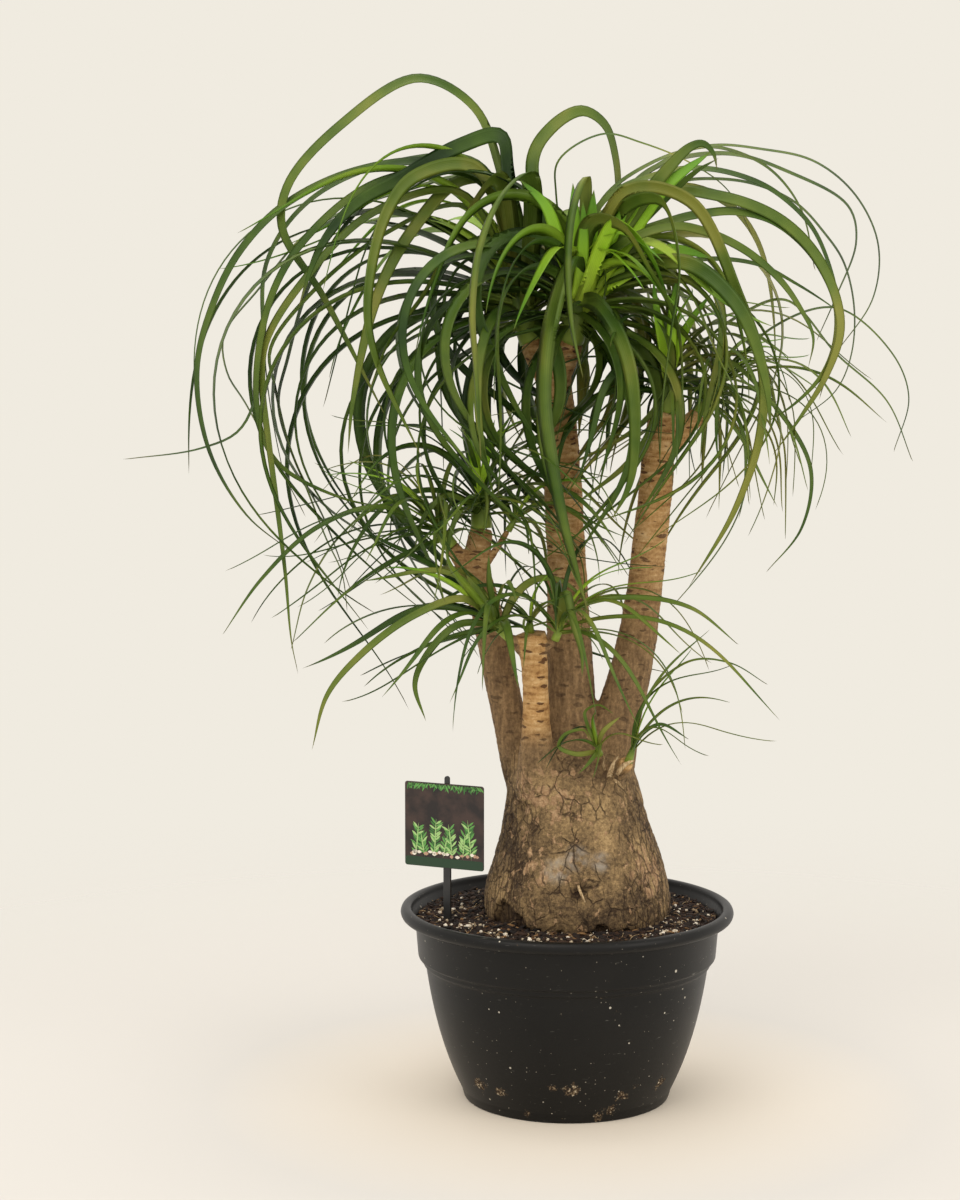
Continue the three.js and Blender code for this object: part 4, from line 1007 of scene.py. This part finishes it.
def grown_leaves(head, count, seed):
    """Every grown leaf of a head, youngest first, in golden-angle order."""
    draw = seeded(seed)

    def between(low, high):
        return mix(low, high, draw())

    lean = Vector((0, 0, 1)).rotation_difference(Vector(head["tip"]) - heart_foot(head)[0])
    leaves = []
    for i in range(count):
        age = (i + 0.5) / count
        azimuth = i * GOLDEN_ANGLE + between(-0.2, 0.2)
        azimuth += head.get("flatten", 0) * math.sin(2 * azimuth)
        launch = math.radians(mix(*head["launch"], age**0.9) + between(-6, 6))
        flat = math.sin(launch)
        way = lean @ Vector((flat * math.sin(azimuth), flat * math.cos(azimuth), math.cos(launch)))
        polar = math.acos(min(1, max(-1, way.z)))
        fall = math.radians(mix(*head["fall"], smoothstep(age, -0.1, 0.45)) + between(-14, 14))
        heading = math.atan2(way.y, way.x)
        shorter = mix(1, head.get("depth", 1), math.sin(heading) ** 2)
        shorter *= mix(1, head.get("right", 1), max(0, math.cos(heading)))
        in_front = 0.1 < age < 0.7 and math.cos(azimuth) < -head.get("front", 1)
        leaves.append(
            dict(
                age=age, azimuth=heading, launch=polar, fall=max(fall, polar + 0.2),
                settled=between(0.6, 0.95), curl=between(-0.6, 0.6), sway=between(-0.8, 0.8),
                length=mix(*head["length"], fullness(age)) * between(0.82, 1.12) * shorter,
                width=between(*head["width"]), roll=between(-0.8, 0.8), twist=between(-1.1, 1.1),
                tone=(i * 0.618) % 1, in_front=in_front,
            )
        )
    return [leaf for leaf in leaves if not leaf["in_front"]]


sample = grown_leaves(HEADS["crown_head"], 44, 3)[20]
print("a crown leaf:", {key: round(float(value), 2) for key, value in sample.items()})

# %% [markdown]
# ### The blade
# A strap leaf is a shallow channel in section: two flat halves that meet in a crease. It keeps
# its width for most of its length and runs out in a thread. Each station of the blade has five
# points across its upper side and one below the crease, which makes a closed, thin solid. The
# section is carried along the path without spinning, and then turned by the leaf's own twist.

# %% Blade mesh
BLADE_ACROSS = np.array([-1.0, -0.55, 0.0, 0.55, 1.0, 0.0])
BLADE_RISE = np.array([1.0, 0.42, 0.0, 0.42, 1.0, 0.0])
CHANNEL_AT_ROOT = 0.55
CHANNEL_AT_TIP = 0.16
BLADE_THICKNESS = 0.7


def blade(line, width, roll, twist, placed):
    """Points, faces and marks of one leaf. Roll is from the front for a placed leaf, else from level."""
    count = len(line) - 1
    t = np.arange(count + 1) / count
    ways = np.gradient(line, axis=0)
    ways /= np.linalg.norm(ways, axis=1)[:, None]
    reach = line[count // 3] - line[0]
    side = np.array([reach[1], -reach[0], 0.0])
    if placed:
        side = np.cross((0, 1, 0), ways[0])
    elif np.linalg.norm(side) < 1:
        side = np.array([0.0, -1.0, 0.0])
    half = width / 2 * mix(0.72, 1, smoothstep(t, 0, 0.16)) * (1 - t ** (4 if placed else 2.4))
    channel = mix(CHANNEL_AT_ROOT, CHANNEL_AT_TIP, smoothstep(t, 0, 0.5))
    rings = []
    for i in range(count):
        side = side - ways[i] * (side @ ways[i])
        side /= np.linalg.norm(side)
        turn = roll + twist * t[i]
        face = side * math.cos(turn) + np.cross(ways[i], side) * math.sin(turn)
        under = np.cross(ways[i], face)
        rise = BLADE_RISE * half[i] * channel[i] - np.array([0, 0, 0, 0, 0, BLADE_THICKNESS])
        rings.append(line[i] + np.outer(BLADE_ACROSS * half[i], face) - np.outer(rise, under))
    sides = len(BLADE_ACROSS)
    points = np.vstack([*rings, line[-1:]])
    faces = ring_faces(count, sides)
    last = (count - 1) * sides
    faces += [(last + s, last + (s + 1) % sides, count * sides) for s in range(sides)]
    faces.append(tuple(range(sides))[::-1])
    along = np.r_[np.repeat(t[:-1], sides), 1]
    across = np.r_[np.tile(BLADE_ACROSS, count), 0]
    return points, faces, along, across


print("blade section of", len(BLADE_ACROSS), "points")


# %% Keep leaves clear of the wood and inside the plant's box
BENDS = [0, 1, -1, 2, -2, 3, -3, 4, -4]
BOX_MARGIN = 6.0


def outside_box(line):
    low, high = (np.array(corner) / MM for corner in (cad_low, cad_high))
    return bool((line < low - BOX_MARGIN).any() or (line > high + BOX_MARGIN).any())


def free_line(root, leaf, count):
    """The first bend of a leaf that clears the wood, shortened until it fits the box."""
    for bend in BENDS:
        bent = dict(leaf)
        bent["azimuth"] += bend * math.radians(5)
        bent["launch"] += bend * math.radians(2)
        line = grown_line(root, bent, count)
        gap, _, _ = limb_place(line[count // 5 :])
        if gap.min() > 2.5:
            break
    while outside_box(line):
        bent["length"] *= 0.93
        line = grown_line(root, bent, count)
    return line


print("box margin", BOX_MARGIN, "mm")

# %% [markdown]
# ### Strap leaf
# The leaf of this plant is thin, tough and waxy: IOR near 1.45 with a satin gloss that turns to
# a pale blue sheen where it faces a light. It is deep green to olive: leaves in front are painted
# lighter and those behind and the heart darker, as painted light and shade. It is bright
# yellow-green in the young leaves and at every base, since the base is shaded by its neighbours
# and holds little pigment. Fine parallel veins run its whole length.

# %% Leaf material
VEINS_ACROSS = 9.0

leaf_material, tree = new_material("waxy_strap_leaf")
LEAF_MARKS = ("along", "across", "age", "tone")
along, across, age, tone = (node("Attribute", attribute_name=name).outputs["Fac"] for name in LEAF_MARKS)
place = node("TexCoord").outputs["Object"]
cloud = node("TexNoise", place, every(70), 3)
# The tone mark makes a leaf darker or lighter: at random for grown and young leaves, and as painted light and
# shade for placed leaves and the heart.
tinted = node("Math", tone, 0.5, -0.25, operation="MULTIPLY_ADD")
shade = node("Math", cloud, tinted, operation="ADD")
grown = node("ValToRGB", shade, stops={0.2: "#1d350e", 0.42: "#3d5716", 0.6: "#5c6f25", 0.8: "#808236"})
young = node("ValToRGB", along, stops={0: "#c3d84e", 0.3: "#acd334", 0.6: "#8fbe2a", 0.9: "#66992b"})
youth = node("MapRange", age, 0.16, 0)
blended = node("Mix", youth, grown, young, data_type="RGBA")
base = node("MapRange", along, 0.09, 0, 0, 0.75)
based = node("Mix", base, blended, "#a3b84e", data_type="RGBA")
vein_phase = node("Math", across, VEINS_ACROSS * math.pi, operation="MULTIPLY")
vein_wave = node("Math", vein_phase, operation="SINE")
vein = node("MapRange", vein_wave, -1, 1, 0, 0.16)
veined = node("Mix", vein, based, "#16320f", data_type="RGBA")
tip = node("MapRange", along, 0.93, 1, 0, 0.7)
tipped = node("Mix", tip, veined, "#6d6238", data_type="RGBA")
bump = node("Bump", Height=vein_wave, Strength=0.12, Distance=0.25 * MM)
waxy = dict(Roughness=0.45, IOR=1.45, Specular_IOR_Level=0.28)
node("OutputMaterial", node("BsdfPrincipled", Base_Color=tipped, Normal=bump, **waxy))
print("veins across a leaf:", VEINS_ACROSS)

# %% Grow every head
HEART_TOP_MARK = 0.12
LONG_STEPS = 44
SHORT_STEPS = 26


def heart_blades(head):
    """The heart as a cone of clasping leaf bases."""
    foot, along = heart_foot(head)
    tip = Vector(head["tip"])
    low, high = head["radius"]
    stops = [(*foot, low), (*foot.lerp(tip, 0.35), low), (*foot.lerp(tip, 0.85), high), (*tip, 1.0)]
    points, faces = tube(fine_stops(stops, 4), 20)
    return np.array(points), faces


def grow_head(name, head):
    steps = LONG_STEPS if head["length"][1] > 300 else SHORT_STEPS
    foot, tip = heart_foot(head)[0], Vector(head["tip"])
    points, faces = heart_blades(head)
    pale_foot = HEART_TOP_MARK * np.clip((points[:, 2] - foot.z) / (head["tip"][2] - foot.z), 0, 1)
    parts, marks = [(points, faces)], [[pale_foot], [np.full(len(points), 0)], [np.full(len(points), 0.5)]]
    # The heart's tone is low: painted shade deep in the head.
    marks.append([np.full(len(points), 0.3)])
    leaves = []
    for i, (on, width, roll, places) in enumerate(placed_leaves):
        if on == name:
            in_front = np.mean([place[1] for place in places]) < FRONT_Y
            tone = mix(*(FRONT_LIT_TONES if in_front else BACK_SHADED_TONES), seeded(PLACED_SEED + i)())
            line = smooth_line([root_of(head, (i * PLACED_ROOT_STEP) % 1), *places], PLACED_STEPS)
            leaves.append((line, width, roll, 0, True, 0.45, tone))
    for i, (on, width, roll, places) in enumerate(young_leaves):
        if on == name:
            line = smooth_line([foot.lerp(tip, ROSETTE_ROOT), *places], steps)
            leaves.append((line, width, roll, 0, True, 0.0, seeded(YOUNG_SEED + i)()))
    grown = grown_leaves(head, head["leaves"], head["seed"])
    for leaf in grown + grown_leaves(head, head["extra"], head["seed"] + FURTHER_SEED):
        line = free_line(root_of(head, leaf["age"]), leaf, steps)
        leaves.append((line, leaf["width"], leaf["roll"], leaf["twist"], False, leaf["age"], leaf["tone"]))
    for *shape, age, tone in leaves:
        points, faces, along, across = blade(*shape)
        parts.append((points, faces))
        age, tone = np.full(len(points), age), np.full(len(points), tone)
        for mark, values in zip(marks, (along, across, age, tone)):
            mark.append(values)
    marks = dict(zip(LEAF_MARKS, map(np.concatenate, marks)))
    make_piece(name + "_leaves", *joined(parts), leaf_material, "leaf", [name], marks)


for name, head in HEADS.items():
    grow_head(name, head)

# %% Dry sheaths at the shoulder
SHEATHS = [
    (6, 20, [(38, -54, 316), (40, -60, 324), (43, -63, 332), (48, -64, 338)]),
    (5, -30, [(46, -56, 318), (50, -61, 326), (56, -63, 331), (62, -62, 333)]),
    (4, 50, [(34, -54, 322), (33, -59, 330), (36, -62, 339)]),
    (4, 10, [(42, -56, 314), (47, -61, 312), (52, -63, 306)]),
]
sheaths = []
for width, roll, places in SHEATHS:
    sheaths.append(blade(smooth_line(places, 12), width, math.radians(roll), 0.6, True)[:2])
make_piece("dry_sheaths", *joined(sheaths), dry_material, "bark")

# %% [markdown]
# ## The mix
# The pan is filled to 12 mm below its lip with a mix of composted bark, fibre and white perlite,
# mounded a little to the caudex. Its top is a grid that rises and falls, and loose bits lie on
# it: crumbs and chips of bark, perlite that has washed together in drifts, and fibres. They are
# small solids in the mesh, because they cast the small shadows that make a mix look loose.

# %% Mix surface
MIX_RADIUS = COLLAR_TOP - WALL - 0.4
MOUND_RADIUS = 96
EDGE_RISE = 4
CAUDEX_X, CAUDEX_Y = CAUDEX[2][:2]
CAUDEX_CLEAR = 82


def mix_height(x, y):
    lumps = noise.noise(Vector((x / 26, y / 26, 0))) * 2.6 + noise.noise(Vector((x / 7, y / 7, 5))) * 1.3
    away = min(1, max(0, (math.hypot(x, y) - MOUND_RADIUS) / (MIX_RADIUS - MOUND_RADIUS)))
    smooth = mix(MOUND_TOP, SOIL_TOP + EDGE_RISE, away) - 1.6
    return smooth + lumps + 0.8 * noise.noise(Vector((x / 2.6, y / 2.6, 9)))


rings, steps = 56, 160
angles = [2 * math.pi * step / steps for step in range(steps)]
mix_points = []
for ring in range(rings):
    for angle in angles:
        x, y = on_circle(MIX_RADIUS * (0.3 + 0.7 * ring / (rings - 1)), angle)
        mix_points.append((x, y, mix_height(x, y)))
mix_points += [(*on_circle(COLLAR_LOW - WALL - 0.6, angle), COLLAR_FOOT + 2) for angle in angles]
mix_faces = [face[::-1] for face in ring_faces(rings + 1, steps)]
mix_faces.append(tuple(range(steps)))
mix_faces.append(tuple(rings * steps + step for step in range(steps))[::-1])
print("mix surface", len(mix_points), "points")

# %% Mix material
mix_material, tree = new_material("composted_bark_mix")
place = node("TexCoord").outputs["Object"]
crumbs = node("TexVoronoi", place, every(3.2))
damp = node("TexNoise", place, every(14), 6)
# The colour follows the crumb pattern of the bump and is darkest in its pits: painted shade, varied by the
# larger damp noise.
both = node("Math", crumbs.outputs["Distance"], damp, operation="MULTIPLY")
colours = node("ValToRGB", both, stops={0.02: "#0f0905", 0.2: "#22150d", 0.36: "#3e281a"})
bump = node("Bump", Height=crumbs.outputs["Distance"], Strength=1, Distance=1.5 * MM)
node("OutputMaterial", node("BsdfPrincipled", Base_Color=colours, Roughness=0.9, IOR=1.4, Normal=bump))
make_piece("mix_surface", mix_points, mix_faces, mix_material, "potting_mix", ["soil"])

# %% Loose bits of the mix
ICO_POINTS = [
    Vector(p).normalized()
    for a, b in ((1, 1.618), (1, -1.618), (-1, 1.618), (-1, -1.618))
    for p in ((0, a, b), (a, b, 0), (b, 0, a))
]


def lump_faces():
    """The 20 faces of an icosahedron, found from its nearest points and turned outwards."""
    faces = []
    for i in range(12):
        for j in range(i + 1, 12):
            for k in range(j + 1, 12):
                a, b, c = ICO_POINTS[i], ICO_POINTS[j], ICO_POINTS[k]
                if max((a - b).length, (b - c).length, (c - a).length) < 1.1:
                    faces.append((i, j, k) if (b - a).cross(c - a).dot(a) > 0 else (i, k, j))
    return faces


LUMP_FACES = lump_faces()


def lump(place, size):
    """One uneven grain with half-sizes size, turned at random: its points, faces and shade."""
    way = Vector((draw() - 0.5, draw() - 0.5, draw() * 0.9 + 0.25)).normalized()
    turn = Vector((0, 0, 1)).rotation_difference(way)
    spin = draw() * 6.28
    shade = draw()
    points = []
    for p in ICO_POINTS:
        swell = 0.72 + 0.5 * draw()
        x, y = p.x * math.cos(spin) - p.y * math.sin(spin), p.x * math.sin(spin) + p.y * math.cos(spin)
        points.append(tuple(Vector(place) + turn @ Vector((x * size[0], y * size[1], p.z * size[2])) * swell))
    return points, LUMP_FACES, shade


def place_on_mix():
    """A random place on the ring of mix between the caudex and the wall."""
    while True:
        angle = draw() * 2 * math.pi
        x, y = on_circle(math.sqrt(mix(70**2, (MIX_RADIUS - 2) ** 2, draw())), angle)
        if math.hypot(x - CAUDEX_X, y - CAUDEX_Y) > CAUDEX_CLEAR:
            return x, y, mix_height(x, y)


def place_in_drift(middle_x, middle_y, spread):
    while True:
        angle, far = draw() * 2 * math.pi, spread * draw()
        x, y = on_circle(far, angle, middle_x, middle_y)
        if math.hypot(x, y) < MIX_RADIUS - 3:
            return x, y, mix_height(x, y)


def scatter(count, low, high, power, lift, breadth, flatness, drift=None):
    """Lumps of low to high mm, fewer large ones at a higher power. Breadth is a share or a range."""
    lumps = []
    for _ in range(count):
        x, y, z = place_in_drift(*drift) if drift else place_on_mix()
        size = mix(low, high, draw() ** power)
        wide = mix(*breadth, draw()) if isinstance(breadth, tuple) else breadth
        lumps.append(lump((x, y, z + lift), (size, size * wide, size * flatness)))
    return lumps


DRIFTS = [
    (104, -40, 17), (88, -70, 14), (122, -22, 12), (112, 16, 16), (-92, -66, 18), (-112, -56, 10),
    (-64, -92, 16), (-118, 10, 20), (20, -112, 22), (-30, -116, 12), (40, 110, 26), (-60, 100, 22),
]
draw = seeded(2024)
DRIFT_SHARE = 1.2
chips = scatter(4600, 0.9, 4.2, 2.2, 0.3, (0.35, 0.8), 0.4) + scatter(170, 3.2, 6.5, 1, 1.0, (0.3, 0.6), 0.3)
grains = scatter(300, 0.5, 2.0, 2, 0.7, 0.9, 0.8)
for drift in DRIFTS:
    grains += scatter(int(DRIFT_SHARE * drift[2]), 0.6, 2.7, 2, 1.2, 0.9, 0.8, drift)
print(len(chips), "chips and", len(grains), "grains")

# %% Fibres of the mix
FIBRES = 130
fibres = []
for _ in range(FIBRES):
    x, y, z = place_on_mix()
    heading, length, rise = draw() * 2 * math.pi, mix(3, 11, draw()), mix(1, 4, draw())
    turn = mix(-1.2, 1.2, draw())
    stops = []
    for t in (0, 0.25, 0.5, 0.75, 1):
        stops.append((*on_circle(length * (t - 0.5), heading + turn * t, x, y), z + rise * (1 - t * t), 0.2))
    fibres.append(tube(stops, 5))
print(len(fibres), "fibres")

# %% Chips and perlite
chip_colours = {0: "#0d0704", 0.6: "#20130b", 0.9: "#3c2717", 0.98: "#7d5d39"}
perlite_colours = {0: "#7d684c", 0.45: "#c2b297", 0.85: "#ece3d2"}
LOOSE_BITS = [
    ("bark_chips", "composted_bark_chips", chips, chip_colours, 0.8, 1.45),
    ("perlite_grains", "expanded_perlite", grains, perlite_colours, 0.85, 1.5),
]
for name, kind, lumps, colours, roughness, ior in LOOSE_BITS:
    material, tree = new_material(kind)
    tone = node("Attribute", attribute_name="tone").outputs["Fac"]
    colour = node("ValToRGB", tone, stops=colours)
    node("OutputMaterial", node("BsdfPrincipled", Base_Color=colour, Roughness=roughness, IOR=ior))
    tones = np.repeat([shade for _, _, shade in lumps], len(ICO_POINTS))
    shapes = joined((points, faces) for points, faces, _ in lumps)
    make_piece(name, *shapes, material, "potting_mix", (), {"tone": tones}, smooth=False)
make_piece("mix_fibres", *joined(fibres), dry_material, "potting_mix")

# %% [markdown]
# ## The label
# A nursery pushes a moulded stake into the mix and hangs a printed card on it, turned a little to
# the left. Both are flat plates with an eased edge, drawn in the label's own frame: x across it
# and z up, from the foot of the stake. The stake ends in a slimmer nub behind the card.

# %% Label plates
LABEL_PLACE = (-112, -32)
LABEL_TURN = math.radians(-22)
STAKE_HALF, STAKE_FRONT, STAKE_BACK = 3.7, -1.4, 1.4
NUB_HALF, NUB_FOOT = 2.5, 300
CARD_LEFT, CARD_RIGHT, CARD_FRONT, CARD_BACK, CARD_CORNER = -42.5, 38.5, -2.9, -1.7, 2.5
stake_low, stake_high = (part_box("label_stake")[end].z / MM for end in (0, 1))
card_low, card_high = (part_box("label_card")[end].z / MM for end in (0, 1))


def arc(x, z, radius, start, end, steps=7):
    """Points on an arc from one angle to another, in quarter turns."""
    angles = np.linspace(start, end, steps) * math.pi / 2
    return [on_circle(radius, angle, x, z) for angle in angles]


def rounded_plate(left, right, low, high, corner):
    left, right, low, high = left + corner, right - corner, low + corner, high - corner
    middles = ((right, high), (left, high), (left, low), (right, low))
    return [point for turn, middle in enumerate(middles) for point in arc(*middle, corner, turn, turn + 1)]


def plate(outline, front, back):
    """Points and faces of a closed plate from its outline, given anticlockwise as seen in front."""
    count = len(outline)
    cos, sin = math.cos(LABEL_TURN), math.sin(LABEL_TURN)
    points = [
        (LABEL_PLACE[0] + x * cos - y * sin, LABEL_PLACE[1] + x * sin + y * cos, z)
        for y in (front, back)
        for x, z in outline
    ]
    faces = [tuple(range(count)), tuple(range(count, 2 * count))[::-1]]
    for s in range(count):
        after = (s + 1) % count
        faces.append((after, s, s + count, after + count))
    return points, faces


def eased_plate(name, outline, front, back, cut, material, slot, stands_for):
    piece = make_piece(name, *plate(outline, front, back), material, slot, stands_for, smooth=False)
    bevel = piece.modifiers.new("eased_edges", "BEVEL")
    bevel.width = cut * MM
    bevel.segments = 2


print("card", CARD_RIGHT - CARD_LEFT, "by", round(card_high - card_low), "mm")

# %% Stake
stake_material, tree = new_material("moulded_black_polystyrene")
place = node("TexCoord").outputs["Object"]
peel = node("TexNoise", place, every(2), 3)
bump = node("Bump", Height=peel, Strength=0.15, Distance=0.3 * MM)
rub = node("TexNoise", place, every(12), 5)
rubbed = node("ValToRGB", rub, stops={0.4: "#131313", 0.7: "#222220"})
node("OutputMaterial", node("BsdfPrincipled", Base_Color=rubbed, Roughness=0.38, IOR=1.59, Normal=bump))
outline = [(-STAKE_HALF, stake_low), (STAKE_HALF, stake_low), (STAKE_HALF, NUB_FOOT), (NUB_HALF, NUB_FOOT)]
outline += arc(0, stake_high - NUB_HALF, NUB_HALF, 0, 2, 11)
outline += [(-NUB_HALF, NUB_FOOT), (-STAKE_HALF, NUB_FOOT)]
plastic_names = (stake_material, "label_plastic", ["label_stake"])
eased_plate("label_stake_moulding", outline, STAKE_FRONT, STAKE_BACK, 0.5, *plastic_names)

# %% Card
card_material, tree = new_material("printed_polypropylene_card")
place = node("TexCoord").outputs["Object"]
ground = node("TexNoise", place, every(12), 5)
ground = node("ValToRGB", ground, stops={0.38: "#1d1411", 0.64: "#3d2c25"})
node("OutputMaterial", node("BsdfPrincipled", Base_Color=ground, Roughness=0.34, IOR=1.49))
outline = rounded_plate(CARD_LEFT, CARD_RIGHT, card_low, card_high, CARD_CORNER)
card_names = (card_material, "label_print", ["label_card"])
eased_plate("label_card_sheet", outline, CARD_FRONT, CARD_BACK, 0.3, *card_names)

# %% [markdown]
# ### A print of our own
# The card carries a plain design: a green band along its foot, pebbles above it, sprigs of almond
# leaves, and a fringe of leaves along its top edge. Each shape is a film of ink on the card, and
# a number at its points picks its ink.

# %% Print
INK_FRONT = CARD_FRONT - 0.12
BAND_HEIGHT = 9
BAND_INK, DARK_INK, LEAF_INK, PALE_INK, STONE_INK, CREAM_INK = 0.05, 0.25, 0.45, 0.62, 0.8, 0.95
FRINGE, PEBBLES = 26, 22
SPRIGS = [(-31, 27, 5), (-22, 19, -10), (-12, 32, 3), (-3, 18, 12), (7, 28, -8), (17, 21, 6), (26, 33, -6)]
print_parts, print_tones = [], []


def add_ink(outline, tone):
    print_parts.append(plate(outline, INK_FRONT - 0.02 * tone, CARD_FRONT + 0.1))
    print_tones.extend([tone] * len(outline) * 2)


def add_leaf_shape(x, z, length, turn, width, tone):
    """An almond that starts at (x, z) and points turn degrees to the right of upright."""
    up, over = math.cos(math.radians(turn)), math.sin(math.radians(turn))
    rims = [(length * t, math.sin(math.pi * t) * width / 2) for t in np.linspace(0, 1, 8)]
    right = [(x + far * over + half * up, z + far * up - half * over) for far, half in rims]
    left = [(x + far * over - half * up, z + far * up + half * over) for far, half in rims[-2:0:-1]]
    add_ink(right + left, tone)


band = rounded_plate(CARD_LEFT + 0.4, CARD_RIGHT - 0.4, card_low + 0.4, card_low + BAND_HEIGHT, 2.2)
add_ink(band, BAND_INK)
draw = seeded(77)
for x, height, lean in SPRIGS:
    foot = card_low + BAND_HEIGHT + 0.6
    lean_way = math.radians(lean)
    for pair in range(int(height / 2.6)):
        far = 3 + pair * 2.6
        at = (x + far * math.sin(lean_way), foot + far * math.cos(lean_way))
        for side in (-1, 1):
            tone = (DARK_INK, LEAF_INK, PALE_INK)[int(draw() * 3)]
            add_leaf_shape(*at, mix(6.5, 9.5, draw()), lean + side * mix(34, 62, draw()), 1.9, tone)
    add_leaf_shape(x, foot, height + 5, lean, 1.3, PALE_INK)
for step in range(FRINGE):
    x = CARD_LEFT + 4 + step * 2.9
    for turn in (150, 205):
        tone = (DARK_INK, LEAF_INK)[int(draw() * 2)]
        add_leaf_shape(x, card_high - 0.8, mix(4.5, 9, draw()), turn + mix(-20, 20, draw()), 1.6, tone)
for step in range(PEBBLES):
    x = mix(CARD_LEFT + 5, CARD_RIGHT - 5, draw())
    z = card_low + BAND_HEIGHT + mix(2.2, 5.5, draw())
    tone = (STONE_INK, CREAM_INK)[int(draw() * 2)]
    add_leaf_shape(x - 2.4, z, mix(3.6, 5.6, draw()), 90, mix(2.4, 3.6, draw()), tone)
print("shapes on the card:", len(print_parts))

# %% Inks
ink_material, tree = new_material("offset_ink")
tone = node("Attribute", attribute_name="tone").outputs["Fac"]
greens = {0: "#1a3a20", 0.15: "#39702f", 0.35: "#5d9a48", 0.55: "#a2c97c"}
ink = node("ValToRGB", tone, stops={**greens, 0.7: "#b8937a", 0.88: "#ece3d2"})
ink.color_ramp.interpolation = "CONSTANT"
node("OutputMaterial", node("BsdfPrincipled", Base_Color=ink, Roughness=0.34, IOR=1.49))
marks = {"tone": print_tones}
make_piece("label_ink", *joined(print_parts), ink_material, "label_print", (), marks, smooth=False)
